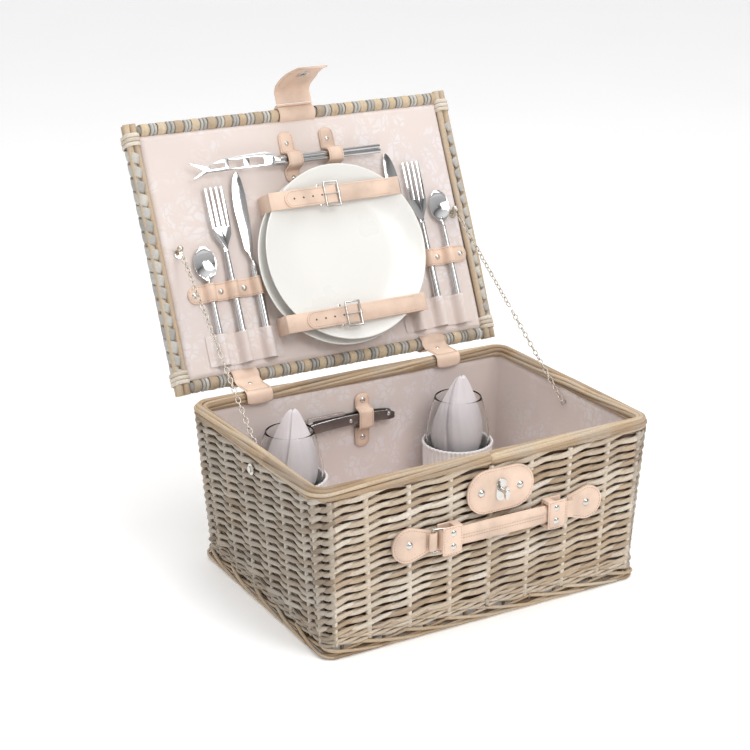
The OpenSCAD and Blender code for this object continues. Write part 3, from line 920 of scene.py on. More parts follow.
# A greyer and darker copy of the willow: the heavier grey wash is the rods' own colour, the darker tones are
# painted shade for the side walls and the floor.
WILLOW_GREY_SHADED = Willow("willow_grey_painted_shade", ((0.13, 0.09, 0.06), (0.33, 0.265, 0.20), (0.48, 0.415, 0.34),
                                     (0.62, 0.565, 0.49)), 0.4).make()
WILLOW_TAN = Willow("willow_tan", ((0.22, 0.14, 0.08), (0.42, 0.30, 0.19), (0.58, 0.45, 0.31),
                                   (0.70, 0.60, 0.46)), 0.3).make()
SPLIT = Willow("willow_split", ((0.30, 0.30, 0.28), (0.45, 0.44, 0.41), (0.56, 0.55, 0.51),
                                (0.68, 0.65, 0.59)), 0.6).make()
WRAP = Willow("willow_wrap", ((0.28, 0.27, 0.24), (0.50, 0.37, 0.24), (0.62, 0.49, 0.33),
                              (0.72, 0.60, 0.44)), 0.2).make()
COTTON = Cotton("cotton_print", (0.74, 0.645, 0.60), (0.80, 0.75, 0.745), 0.8).make()
# A near-black brown cloth finish used only as painted shade behind the wall weave.
GAP_SHADE_CLOTH = Cotton("painted_gap_shade_brown", (0.10, 0.055, 0.028), (0.16, 0.085, 0.04), 0.6).make()
ELASTIC = Cotton("cotton_plain", (0.80, 0.77, 0.76), (0.86, 0.84, 0.83), 0.5).make()
NAPKIN = Cotton("napkin_cloth", (0.75, 0.70, 0.715), (0.79, 0.75, 0.765), 0.3).make()
LEATHER = Leather("leather_blush", (0.73, 0.55, 0.435)).make()
THREAD = Leather("thread", (0.50, 0.34, 0.25)).make()
# Near-black finish for the strap holes: painted shade inside the holes.
HOLE_SHADE = Leather("hole_painted_shade", (0.10, 0.06, 0.04)).make()
NICKEL = Metal("nickel", (0.62, 0.60, 0.57), 0.12, (0.42, 0.38, 0.33)).make()
CHAIN = Metal("chain_nickel", (0.66, 0.60, 0.52), 0.2, (0.36, 0.28, 0.2)).make()
STEEL = Metal("polished_steel", (0.66, 0.66, 0.66), 0.07, (0.5, 0.5, 0.5)).make()
DARK = Metal("dark_steel", (0.22, 0.20, 0.19), 0.28, (0.14, 0.12, 0.12)).make()
PORCELAIN = Glaze("porcelain_glaze", (0.80, 0.79, 0.755)).make()
GLASS = ClearGlass("clear_glass").make()


# ---------------------------------------------------------------- basket

RNG = random.Random(7)


def wall_half(z: float, inset: float) -> tuple[float, float]:
    """Gives the wall's half width and half depth.

    Args:
        z: The height.
        inset: How far inside the outer face.

    Returns:
        The two halves.
    """
    share = (z - 12 * MM) / (154.5 * MM)
    return (186 + 11 * share) * MM - inset, (139 + 2.8 * share) * MM - inset


@dataclass
class WovenWalls:
    """The randed side walls: upright stakes and rods that pass before and behind them.

    Attributes:
        low: Height of the lowest row.
        pitch: Height of a row.
        rows: Number of rows.
        sway: How far a rod swings in and out.
        radius: Half a rod's height where it crosses a stake.
    """

    low: float = 25 * MM
    pitch: float = 4.28 * MM
    rows: int = 34
    sway: float = 2.3 * MM
    radius: float = 3.25 * MM
    depth: float = 4 * MM
    corner: float = 10 * MM

    def loop(self, z: float, inset: float | None = None) -> Loop:
        """Gives the rods' loop at a height."""
        half = wall_half(z, self.depth if inset is None else inset)
        return Loop(*half, self.corner)

    def stakes(self) -> list[float]:
        """Places the stakes as shares of the loop."""
        loop = self.loop(90 * MM)
        x, y = loop.x, loop.y
        front = [i * 46.5 * MM for i in range(4)] + [x - self.corner]
        side = [-y + self.corner] + [(-105 + 42 * i) * MM for i in range(6)] + [y - self.corner]
        bend = self.corner * math.pi / 2
        start_side = x - self.corner + bend
        start_back = start_side + 2 * (y - self.corner) + bend
        half = front + [start_side + v + y - self.corner for v in side]
        half += [start_back + (x - self.corner) - v for v in reversed(front)]
        half = sorted(set(round(v, 6) for v in half))
        whole = half + [loop.length - v for v in half[1:-1]][::-1]
        return [v / loop.length for v in whole]

    def phase(self, share: float, stakes: list[float]) -> float:
        """Counts the stakes up to a share of the loop.

        Args:
            share: The share.
            stakes: The stakes' shares.

        Returns:
            The count, with its fraction.
        """
        for i, here in enumerate(stakes):
            after = stakes[i + 1] if i + 1 < len(stakes) else 1.0
            if here <= share <= after:
                return i + (share - here) / (after - here)
        return 0.0

    def build(self) -> None:
        """Builds the walls' rods and stakes and the waling below them."""
        stakes = self.stakes()
        steps = 10
        shares = []
        for i, here in enumerate(stakes):
            after = stakes[i + 1] if i + 1 < len(stakes) else 1.0
            shares += [here + (after - here) * k / steps for k in range(steps)]
        front = Shape()
        for row in range(self.rows):
            z0 = self.low + row * self.pitch
            tones = [RNG.random() for _ in range(len(stakes) + 1)]
            wobble = [RNG.uniform(-0.9, 0.9) * MM for _ in range(len(stakes) + 1)]
            fat = [RNG.uniform(0.76, 1.14) for _ in range(len(stakes) + 1)]
            path, sizes, marks = [], [], []
            for share in shares:
                count = self.phase(share, stakes)
                turn = math.pi * (count + row)
                span = int(count + row + 1) // 2 % len(stakes)
                z = z0 + 2.9 * MM * math.sin(turn) + wobble[span] * math.cos(turn) ** 2
                point, out = self.loop(z).at(share)
                path.append(point + out * (self.sway * math.cos(turn)) + Vector((0, 0, z)))
                own = 1 + (fat[span] - 1) * math.cos(turn) ** 2
                sizes.append(self.radius * (0.7 + 0.3 * abs(math.cos(turn))) * own)
                # Painted shade: a rod's tone is darkened where it swings inward behind a stake.
                painted_shade_behind = max(0.0, -math.cos(turn))
                marks.append((tones[(span + row) // 3] * 0.7 + 0.3 * tones[span]) * (1 - 0.6 * painted_shade_behind))
            n = len(path)
            shape = Shape()
            shape.tube(path, lambda t, s=sizes, n=n: s[min(n - 1, int(t * n + 0.5))], 8, 0.55,
                       Vector((0, 0, 1)), True, lambda t, s=marks, n=n: s[min(n - 1, int(t * n + 0.5))])
            front.join(shape)
        for share in stakes:
            path = []
            for k in range(9):
                z = (13 + 154 * k / 8) * MM
                point, out = self.loop(z).at(share)
                path.append(point + out * (0.6 * MM) + Vector((0, 0, z)))
            front.tube(path, 2.8 * MM, 8, tone=RNG.uniform(0.65, 1.0))
        self.wale(front)
        made = piece(front, "walls_weave", WILLOW, "basket", ["basket_walls"])
        self.paint_side_shade(made)
        self.paint_gap_shade()

    def paint_gap_shade(self) -> None:
        """Builds a dark brown sheet between the weave and the printed lining: painted shade seen through the
        gaps of the weave.
        """
        count, shape, rows = 240, Shape(), []
        for z in (14, 50, 90, 130, 168):
            loop = self.loop(z * MM, 7.6 * MM)
            rows.append([loop.at(i / count)[0] + Vector((0, 0, z * MM)) for i in range(count)])
        shape.grid(rows, True)
        made = piece(shape, "painted_gap_shade_sheet", GAP_SHADE_CLOTH, "basket", ["body_lining"])

    def paint_side_shade(self, made: bpy.types.Object) -> None:
        """Gives the side walls' faces a greyer, darker copy of the willow; its darkening is painted shade.

        Args:
            made: The woven walls.
        """
        made.data.materials.append(WILLOW_GREY_SHADED)
        edge = 176 * MM
        for face in made.data.polygons:
            if abs(face.center.x) > edge:
                face.material_index = 1

    def wale(self, shape: Shape) -> None:
        """Adds the band of thin rods at the foot of the walls.

        Args:
            shape: Takes the rods.
        """
        for k in range(5):
            z0 = (13.4 + 2.6 * k) * MM
            path = []
            for i in range(340):
                share = i / 340
                turn = math.tau * (share * 34 + k / 3)
                point, out = self.loop(z0, 3.2 * MM).at(share)
                rise = Vector((0, 0, z0 + 0.8 * MM * math.sin(turn)))
                path.append(point + out * (1.7 * MM * math.cos(turn)) + rise)
            shape.tube(path, 1.75 * MM, 7, closed=True, tone=RNG.uniform(0.15, 0.7))


@dataclass
class Border:
    """A roll of parallel rods that follows a loop.

    Attributes:
        loop: The roll's centreline.
        z: Its height.
        roll: Radius on which the rods lie.
        rod: A rod's radius.
        count: Number of rods.
        turns: How often the rods go round the roll in one lap.
    """

    loop: Loop
    z: float
    roll: float
    rod: float
    count: int
    turns: float

    def build(self) -> Shape:
        """Builds the roll.

        Returns:
            The rods.
        """
        shape = Shape()
        for k in range(self.count):
            path = []
            drift = [RNG.uniform(-0.25, 0.25) for _ in range(24)]
            for i in range(420):
                share = i / 420
                turn = math.tau * (k / self.count + self.turns * share)
                cell = share * 24
                near, rest = int(cell) % 24, cell - int(cell)
                turn += drift[near] * (1 - rest) + drift[(near + 1) % 24] * rest
                point, out = self.loop.at(share)
                rise = Vector((0, 0, self.z + self.roll * math.sin(turn)))
                path.append(point + out * (self.roll * math.cos(turn)) + rise)
            own = RNG.uniform(0.1, 0.9)
            tones = [min(1.0, max(0.0, own + RNG.uniform(-0.15, 0.15))) for _ in range(9)]
            radius = self.rod * RNG.uniform(0.8, 1.08)
            shape.tube(path, radius, 8, closed=True, tone=lambda t, s=tones: s[min(8, int(t * 9))])
        return shape


class Foot:
    """The open plaited border that the basket stands on."""

    def build(self) -> None:
        """Builds two ground rods, the slanting rods over them and the stake ends behind."""
        outer = Loop(186 * MM, 138 * MM, 13 * MM)
        inner = Loop(179 * MM, 131 * MM, 10 * MM)
        shape = Shape()
        for loop, z, r in ((outer, 2.2, 2.0), (inner, 2.5, 2.4)):
            path = []
            for i in range(360):
                point, out = loop.at(i / 360)
                wave = 0.5 * MM * math.sin(i * 0.9)
                path.append(point + Vector((0, 0, z * MM)) - out * abs(wave))
            start = RNG.random()
            shape.tube(path, r * MM, 8, closed=True, tone=lambda t, s=start: (s + int(t * 11) * 0.37) % 1)
        count = 26
        for i in range(count):
            start, width = (i + RNG.uniform(-0.12, 0.12)) / count, 1.4 / count
            path = []
            for k in range(13):
                t = k / 12
                point, out = outer.at(start + width * t)
                height = 2.4 + 9.2 * (1 - t) ** 1.15
                lean = 1.0 + 1.3 * math.sin(math.pi * t) - 3 * (1 - t) ** 3
                path.append(point + out * (lean * MM) + Vector((0, 0, height * MM)))
            shape.tube(path, lambda t: (2.0 - 0.8 * t) * MM, 7, tone=RNG.uniform(0.5, 1.0))
            mirror = []
            for k, p in enumerate(path):
                point, out = outer.at(start + width * (1 - k / 12) * 0.8)
                mirror.append(point - out * (1.6 * MM) + Vector((0, 0, p.z)))
            shape.tube(mirror, 1.7 * MM, 7, tone=RNG.uniform(0.2, 0.8))
        for i in range(3 * count):
            point, out = inner.at((i + 0.5) / (3 * count))
            path = [point + Vector((0, 0, z * MM)) for z in (1.5, 6, 13)]
            shape.tube(path, 1.9 * MM, 6, tone=RNG.uniform(0, 0.5))
        piece(shape, "foot_plait", WILLOW_TAN, "basket", ["foot_border"])


class BasketShell:
    """The basket's walls, rim, foot and woven floor."""

    def build(self) -> None:
        """Builds them all."""
        WovenWalls().build()
        lap = Loop(192.5 * MM, 135.5 * MM, 14 * MM)
        rim = Border(lap, 174 * MM, 5.0 * MM, 2.4 * MM, 9, 1.6).build()
        core = Border(lap, 174 * MM, 1.6 * MM, 2.6 * MM, 3, 3.0).build()
        rim.join(core)
        piece(rim, "rim_rods", WILLOW_TAN, "basket", ["rim_border"])
        Foot().build()
        self.floor()

    def floor(self) -> None:
        """Builds the woven floor."""
        shape = Shape()
        half_x, half_y, z0 = 173 * MM, 125 * MM, 7.5 * MM
        for k in range(36):
            y = -half_y + 2 * half_y * (k + 0.5) / 36
            path = []
            for i in range(97):
                x = -half_x + 2 * half_x * i / 96
                turn = math.pi * (x / (43 * MM) + k)
                path.append(Vector((x, y + 0.4 * MM * math.sin(turn * 1.3),
                                    z0 + 3.2 * MM * math.cos(turn))))
            shape.tube(path, 3.1 * MM, 7, 1.0, tone=RNG.random())
        for k in range(9):
            x = -172 * MM + 43 * MM * k
            shape.tube([Vector((x, y, z0)) for y in (-half_y, 0, half_y)], 2.6 * MM, 7, tone=RNG.random())
        # The floor takes the greyer willow, darkened with painted shade.
        piece(shape, "floor_weave", WILLOW_GREY_SHADED, "basket", ["basket_base"])


# ---------------------------------------------------------------- linings and pockets

class BodyLining:
    """The printed cotton lining of the basket, sewn in at the rim."""

    def build(self) -> None:
        """Builds the lining as one cloth from the rim down and across the floor."""
        count = 360
        levels = [(169.2, -2.4), (167.6, -1.2)]
        levels += [(z, 0) for z in (165.6, 160, 150, 140, 128, 115, 100, 85, 70, 55, 42, 30)]
        levels += [(22, 0.4), (18.4, 1.6), (16.9, 3.5)]
        rows = []
        for z, step in levels:
            half = wall_half(z * MM, (9.2 + step) * MM)
            loop = Loop(*half, 9 * MM)
            row = []
            for i in range(count):
                share = i / count
                point, out = loop.at(share)
                depth = self.wrinkle(share, z)
                row.append(point - out * depth + Vector((0, 0, z * MM)))
            rows.append(row)
        base = rows[-1]
        for k in range(1, 13):
            t = 1 - k / 12.5
            rows.append([
                Vector((p.x * t, p.y * t,
                        16.7 * MM + 0.25 * MM * math.sin(p.x * 90 * t) * math.sin(p.y * 70)))
                for p in base])
        shape = Shape()
        shape.grid(rows, True)
        shape.cap(len(shape.points) - count, count)
        made = piece(shape, "body_lining_cloth", COTTON, "basket", ["body_lining"])

    def wrinkle(self, share: float, z: float) -> float:
        """Gives how far the cloth stands in from the wall.

        Args:
            share: Share of the lap.
            z: Height in millimetres.

        Returns:
            The distance in metres.
        """
        turn = math.tau * share
        soft = 0.35 * math.sin(23 * turn + 0.02 * z) + 0.3 * math.sin(41 * turn + 1.7 + 0.05 * z)
        gather = math.exp(-((167 - z) / 9) ** 2) * (0.5 + 0.5 * math.sin(90 * turn + 2 * math.sin(11 * turn)))
        sag = 0.5 * math.sin(7 * turn + z * 0.09)
        return (0.75 + 0.5 * soft + 0.35 * sag + 0.6 * gather) * MM


class LidLining:
    """The printed cotton over the lid's inside."""

    def build(self) -> None:
        """Builds the cloth with a turned-in edge."""
        low, high = LID.box("lid_lining")
        low, high = low - Vector((0, 4 * MM, 0)), high + Vector((0, 4 * MM, 0))
        width, length = high.x - low.x, high.y - low.y
        columns, count = 120, 90
        rows = []
        for j in range(count + 1):
            row = []
            for i in range(columns + 1):
                x, u = low.x + width * i / columns, low.y + length * j / count
                edge = min(i, columns - i, j, count - j)
                puff = 0.25 * math.sin(x * 61 + 2 * math.sin(u * 33)) + 0.2 * math.sin(u * 83 + x * 20)
                h = high.z + (puff * 0.45 - 0.35) * MM - (3.2 * MM if edge == 0 else 0.0)
                row.append(LID_M @ Vector((x, u, h)))
            rows.append(row)
        shape = Shape()
        shape.grid(rows)
        made = piece(shape, "lid_lining_cloth", COTTON, "lid", ["lid_lining"])


class GlassPockets:
    """Two elastic pockets, gathered round the glasses."""

    def build(self) -> None:
        """Builds both pockets."""
        for side in ("left", "right"):
            centre = middle(f"glass_{side}")
            place = Matrix.Translation((centre.x, centre.y, 16.3 * MM))
            tall, shape = 76.0, Shape()
            profile = [(38.5 * MM, z * MM) for z in (0, 6, 14, 24, 36, 48, 58, 66, 70, 72)]
            hem = ((38.9, 74), (39.9, 75.5), (40, 77), (38.9, 78.2), (37.9, 77.4), (37.7, 75), (37.8, 70))
            profile += [(r * MM, z * MM) for r, z in hem]

            def gather(turn: float, z: float) -> float:
                """Gives the ruching's share of the radius."""
                share = min(1.0, max(0.0, z / (tall * MM)))
                ripple = math.sin(46 * turn + 1.3 * math.sin(3 * turn)) * 0.018 * share ** 0.7
                return 1 + ripple + 0.008 * math.sin(9 * turn + 40 * share) * (1 - share)

            shape.lathe(profile, place, 300, gather)
            made = piece(shape, f"glass_pocket_{side}", ELASTIC, "basket",
                         ["glass_pockets"] if side == "left" else [])


@dataclass
class CutleryRun:
    """A band across the cutlery that arches over each handle.

    Attributes:
        centres: The handles' places across the lid.
        reach: The arch's half width.
        top: The arch's height over the lining.
        base: The height of the lining.
    """

    centres: list[float]
    reach: float
    top: float
    base: float

    def height(self, x: float) -> float:
        """Gives the band's height at a place across the lid.

        Args:
            x: The place.

        Returns:
            The height in lid coordinates.
        """
        rise = 0.0
        for c in self.centres:
            d = abs(x - c) / self.reach
            if d < 1.45:
                rise = max(rise, math.sqrt(max(0.0, 1 - min(1.0, d) ** 2)) if d < 0.92
                           else 0.39 * (1 - (d - 0.92) / 0.53) ** 2)
        return self.base + (self.top - self.base) * rise


class LidHolders:
    """The lid's cutlery pockets and leather loops."""

    def __init__(self) -> None:
        """Finds the cutlery's places."""
        self.places = {s: sorted(lid_middle(f"{t}_{s}").x if t != "knife" else LAYOUT_X + SIDE[s] * 95.5 * MM
                                 for t in ("knife", "fork", "spoon")) for s in SIDE}

    def build(self) -> None:
        """Builds pockets and loops on both sides."""
        low, high = LID.box("cutlery_pockets")
        for side, sign in SIDE.items():
            centres = self.places[side]
            ends = sorted((LAYOUT_X + sign * 78 * MM, LAYOUT_X + sign * 167 * MM))
            run = CutleryRun(centres, 6.6 * MM, 9.4 * MM, -2.4 * MM)
            rows, count = [], 200
            for j in range(22):
                t = j / 21
                u = low.y + (high.y - low.y) * t
                row = []
                for i in range(count + 1):
                    x = ends[0] + (ends[1] - ends[0]) * i / count
                    x = max(x, -185.5 * MM)
                    fold = 0.45 * MM * math.sin(x * 520 + 0.8 * math.sin(u * 90)) * (0.3 + 0.7 * t)
                    h = run.height(x) * 1.0 + fold * (0.4 + 0.6 * math.sin(math.pi * min(1, t * 1.4)))
                    if j == 21:
                        h -= 0.9 * MM
                    row.append(LID_M @ Vector((x, u + 0.6 * MM * math.sin(x * 110), max(h, -2.7 * MM))))
                rows.append(row)
            shape = Shape()
            shape.grid(rows)
            made = piece(shape, f"cutlery_pocket_{side}", COTTON, "lid",
                         ["cutlery_pockets"] if side == "left" else [])
            self.loop(side, sign, centres)

    def loop(self, side: str, sign: int, centres: list[float]) -> None:
        """Builds the leather loop over one side's handles.

        Args:
            side: The side's name.
            sign: Its sign.
            centres: The handles' places.
        """
        low, high = LID.box("cutlery_loops")
        wide, centre_u = high.y - low.y, (high.y + low.y) / 2
        ends = sorted((LAYOUT_X + sign * 70 * MM, LAYOUT_X + sign * 177 * MM))
        run = CutleryRun(centres, 6.0 * MM, 9.0 * MM, -1.6 * MM)
        shape, count, round_l = Shape(), 220, wide / 2
        rows: list[list[Vector]] = []
        outer_end = ends[1] if sign > 0 else ends[0]
        for i in range(count + 1):
            x = ends[0] + (ends[1] - ends[0]) * i / count
            gap = abs(x - outer_end)
            half = round_l * (math.sqrt(max(0.0, 1 - (1 - gap / round_l) ** 2)) if gap < round_l else 1.0)
            half = max(half, 0.2 * MM)
            h = run.height(x)
            section = [(-half, -1.2), (-half, -0.3), (-half + 0.4 * MM, 0), (half - 0.4 * MM, 0),
                       (half, -0.3),
                       (half, -1.2)]
            rows.append([LID_M @ Vector((x, centre_u + v, h + d * MM)) for v, d in section])
        shape.grid(rows, True)
        shape.cap(0, 6)
        shape.cap(len(shape.points) - 6, 6)
        stands_for = ["cutlery_loops"] if side == "left" else []
        piece(shape, f"cutlery_loop_{side}", LEATHER, "lid", stands_for)
        stitches = Shape()
        for edge in (-1, 1):
            x = ends[0] + 2 * MM
            while x < ends[1] - 4 * MM:
                gap = abs(x - outer_end)
                bow = math.sqrt(max(0.0, 1 - (1 - gap / round_l) ** 2)) if gap < round_l else 1.0
                half = round_l * bow - 1.8 * MM
                path = [LID_M @ Vector((x + t * MM, centre_u + edge * half,
                                        run.height(x + t * MM) + 0.1 * MM))
                        for t in (0, 0.9, 1.8)]
                if half > 1 * MM:
                    stitches.tube(path, 0.28 * MM, 5)
                x += 2.9 * MM
        piece(stitches, f"cutlery_loop_stitches_{side}", THREAD, "lid")


# ---------------------------------------------------------------- leather and metal from the frame

def refined(node: str, name: str, material: bpy.types.Material, bevel: float,
            body: str | None = None, steps: int = 2) -> bpy.types.Object:
    """Copies a CAD node with its edges rounded.

    Args:
        node: The node.
        name: The piece's name.
        material: Its finish.
        bevel: Radius of its edges.
        body: The body it rides on, or the node's own.
        steps: Steps in each rounded edge.

    Returns:
        The object.
    """
    source = frame["nodes"][node]
    data = source.data.copy()
    data.materials.clear()
    data.materials.append(material)
    work = bmesh.new()
    work.from_mesh(data)
    bmesh.ops.remove_doubles(work, verts=work.verts, dist=1e-6)
    bmesh.ops.dissolve_limit(work, angle_limit=math.radians(2), verts=work.verts, edges=work.edges)
    for face in work.faces:
        face.smooth = True
        face.material_index = 0
    work.to_mesh(data)
    work.free()
    made = bpy.data.objects.new(name, data)
    bpy.context.scene.collection.objects.link(made)
    modifier = made.modifiers.new("edges", "BEVEL")
    modifier.width = bevel
    modifier.segments = steps
    modifier.limit_method = "ANGLE"
    modifier.angle_limit = math.radians(40)
    modifier.use_clamp_overlap = True
    modifier.harden_normals = True
    apply_modifiers(made)
    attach(made, body or source["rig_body"])
    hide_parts(node)
    LOG.info("%s: %d faces", name, len(made.data.polygons))
    return made


def finish_node(node: str, material: bpy.types.Material) -> None:
    """Gives a CAD node that stays a finish.

    Args:
        node: The node.
        material: The finish.
    """
    made = frame["nodes"][node]
    for place in made.material_slots:
        place.material = material
    if not made.material_slots:
        made.data.materials.append(material)


def stitch_line(points: Sequence[Vector], shape: Shape, out: Vector, length: float = 1.9 * MM,
                gap: float = 1.1 * MM, closed: bool = True) -> None:
    """Lays stitches along a line.

    Args:
        points: The line.
        shape: Takes the stitches.
        out: Away from the leather.
        length: A stitch's length.
        gap: The space between stitches.
        closed: Whether the line closes on itself.
    """
    ring = list(points) + ([points[0]] if closed else [])
    total = sum((b - a).length for a, b in zip(ring, ring[1:]))

    def at(s: float) -> Vector:
        """Gives the point at a length along the line."""
        for a, b in zip(ring, ring[1:]):
            step = (b - a).length
            if s <= step or step == 0:
                return a.lerp(b, 0 if step == 0 else s / step)
            s -= step
        return ring[-1]

    count = max(1, int(total / (length + gap)))
    pitch = total / count
    for i in range(count):
        start = i * pitch
        middle_point = at(start + length / 2)
        sunk = out * (0.2 * MM)
        shape.tube([at(start) - sunk, middle_point + out * (0.15 * MM), at(start + length) - sunk],
                   0.3 * MM, 5)


SIDE = {"left": -1, "right": 1}
LAYOUT_X = 8 * MM


def holes_and_stitches(place: Matrix, outline: Sequence[tuple[float, float]], name: str, body: str) -> None:
    """Adds a closed line of stitches on a flat leather piece.

    Args:
        place: Carries the outline to the leather's face.
        outline: The line in the leather's plane.
        name: The piece's name.
        body: The body it rides on.
    """
    shape = Shape()
    out = (place.to_3x3() @ Vector((0, 0, 1))).normalized()
    stitch_line([place @ Vector((x, y, 0)) for x, y in outline], shape, out)
    piece(shape, name, THREAD, body)


class FrontHardware:
    """Clasp, turn button and carrying handle on the front wall."""

    def build(self) -> None:
        """Builds the leather and the handle and finishes the metal."""
        refined("clasp_leather", "clasp_patch", LEATHER, 0.7 * MM)
        clasp = middle("clasp_leather")
        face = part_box("clasp_leather")[0].y
        place = Matrix.Translation((clasp.x, face, clasp.z)) @ UPRIGHT
        holes_and_stitches(place, rounded(74.4 * MM, 42.4 * MM, 21 * MM, 12), "clasp_stitches", "basket")
        refined("handle_tabs", "handle_tab_leather", LEATHER, 0.6 * MM)
        self.tab_stitches()
        refined("handle_end_caps", "handle_cap_leather", LEATHER, 0.8 * MM)
        self.cap_stitches()
        self.grip()
        for node in ("clasp_rivets", "handle_tab_rivets", "handle_cap_rivets", "d_ring_left",
                     "d_ring_right"):
            finish_node(node, NICKEL)
        refined("turn_button", "turn_button_bar", NICKEL, 0.5 * MM)
        refined("staple_plate", "staple_plate_metal", NICKEL, 0.3 * MM)

    def tab_stitches(self) -> None:
        """Adds the stitches on both handle tabs."""
        for side, sign in SIDE.items():
            x = LAYOUT_X + sign * 79 * MM
            place = Matrix.Translation((x, -144.75 * MM, middle("handle_tabs").z)) @ UPRIGHT
            outline = arc(27 * MM, 0, 16 * MM, -97, 97, 20)
            outline += [(7 * MM, 10 * MM), (7 * MM, -10 * MM)]
            outline = [(sign * a, b) for a, b in outline]
            holes_and_stitches(place, outline, f"handle_tab_stitches_{side}", "basket")

    def cap_stitches(self) -> None:
        """Adds the stitches on both end caps."""
        low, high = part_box("handle_end_caps")
        z = (low.z + high.z) / 2
        for side, sign in SIDE.items():
            x = LAYOUT_X + sign * 62 * MM
            place = Matrix.Translation((x, low.y, z)) @ UPRIGHT
            outline = rounded(19 * MM, 27 * MM, 1.5 * MM, 3)
            holes_and_stitches(place, outline, f"handle_cap_stitches_{side}", "handle")

    def grip(self) -> None:
        """Builds the padded double-ridged grip."""
        low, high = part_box("handle_grip")
        centre = (low + high) / 2
        half, tall, deep = (high.x - low.x) / 2, (high.z - low.z) / 2, (high.y - low.y) / 2
        rows = []
        for i in range(41):
            t = -1 + 2 * i / 40
            bulge = 1.0 - 0.07 * t * t
            row = []
            for k in range(40):
                a = math.tau * k / 40
                lobe = abs(math.cos(a)) ** 0.55
                groove = 1 - 0.36 * math.exp(-(math.cos(a) / 0.16) ** 2)
                z = math.copysign(abs(math.cos(a)) ** 0.8, math.cos(a)) * tall
                y = math.sin(a) * deep * groove * (0.98 - 0.1 * lobe ** 4)
                row.append(Vector((centre.x + t * half, centre.y + y * bulge, centre.z + z * bulge)))
            rows.append(row)
        shape = Shape()
        shape.grid(rows, True)
        shape.cap(0, 40, True)
        shape.cap(len(shape.points) - 40, 40)
        made = piece(shape, "handle_grip_leather", LEATHER, "handle", ["handle_grip"],
                     subdivide=1)
        seam = Shape()
        for z in (-1.6, 1.6):
            line = [Vector((x * MM + centre.x, centre.y - deep * 0.76, centre.z + z * MM)) for x in (-48,
                                                                                                     48)]
            stitch_line(line, seam, Vector((0, -1, 0)), closed=False)
        piece(seam, "handle_grip_stitches", THREAD, "handle")


def smooth_line(knots: Sequence[tuple[float, float]], steps: int = 8) -> list[tuple[float, float]]:
    """Rounds a line through its knots.

    Args:
        knots: The knots.
        steps: Points between two knots.

    Returns:
        The points.
    """
    points = []
    for i in range(len(knots) - 1):
        p = [knots[max(0, i - 1)], knots[i], knots[i + 1], knots[min(len(knots) - 1, i + 2)]]
        for k in range(steps):
            t = k / steps
            points.append(tuple(0.5 * (2 * p[1][a] + (p[2][a] - p[0][a]) * t
                                       + (2 * p[0][a] - 5 * p[1][a] + 4 * p[2][a] - p[3][a]) * t * t
                                       + (3 * p[1][a] - p[0][a] - 3 * p[2][a] + p[3][a]) * t ** 3)
                                for a in (0, 1)))
    return points + [knots[-1]]


@dataclass
class Band:
    """A stitched leather band: x across it, y along it and z away from what it lies on.

    Attributes:
        knots: Its middle line as (y, z) in millimetres.
        half: Half its width.
        thick: Its thickness.
        ends: Radius of its rounded ends.
    """

    knots: Sequence[tuple[float, float]]
    half: float = 9 * MM
    thick: float = 2.2 * MM
    ends: float = 7 * MM

    def build(self, place: Matrix, leather: Shape, stitches: Shape) -> None:
        """Builds the band and its stitches.

        Args:
            place: Carries the band to where it lies.
            leather: Takes the band.
            stitches: Takes its stitches.
        """
        line = [Vector((0, y * MM, z * MM)) for y, z in smooth_line(self.knots, 10)]
        runs = [0.0]
        for a, b in zip(line, line[1:]):
            runs.append(runs[-1] + (b - a).length)
        part, edges = Shape(), ([], [])
        t2, soft = self.thick / 2, 0.45 * MM
        rows = []
        for i, p in enumerate(line):
            d = (line[min(len(line) - 1, i + 1)] - line[max(0, i - 1)]).normalized()
            out = Vector((0, -d.z, d.y))
            gap = min(runs[i], runs[-1] - runs[i])
            lack = max(0.0, 1 - gap / self.ends)
            half = self.half - self.ends + self.ends * math.sqrt(max(0.0, 1 - lack * lack))
            section = ((-half, -t2 + soft), (-half, t2 - soft), (-half + soft, t2), (half - soft, t2),
                       (half, t2 - soft), (half, -t2 + soft), (half - soft, -t2), (-half + soft, -t2))
            rows.append([place @ (p + Vector((v, 0, 0)) + out * o) for v, o in section])
            if gap > 1.9 * MM:
                for edge, sign in zip(edges, (-1, 1)):
                    edge.append(place @ (p + Vector((sign * (half - 1.8 * MM), 0, 0)) + out * t2))
        part.grid(rows, True)
        part.cap(0, 8)
        part.cap(len(part.points) - 8, 8)
        leather.join(part)
        lift = (place.to_3x3() @ Vector((0, 0, 1))).normalized()
        for edge in edges:
            stitch_line(edge, stitches, lift, closed=False)


def dome(shape: Shape, place: Matrix, radius: float, height: float) -> None:
    """Adds a domed rivet with a flat rim.

    Args:
        shape: Takes the rivet.
        place: Carries it to where it sits.
        radius: Its radius.
        height: Its height.
    """
    profile = [(radius, 0.0), (radius, 0.18 * height), (0.94 * radius, 0.3 * height)]
    profile += [(0.86 * radius * math.cos(a), height * (0.3 + 0.7 * math.sin(a)))
                for a in (math.pi / 2 * i / 7 for i in range(8))]
    shape.lathe(profile, place, 24)


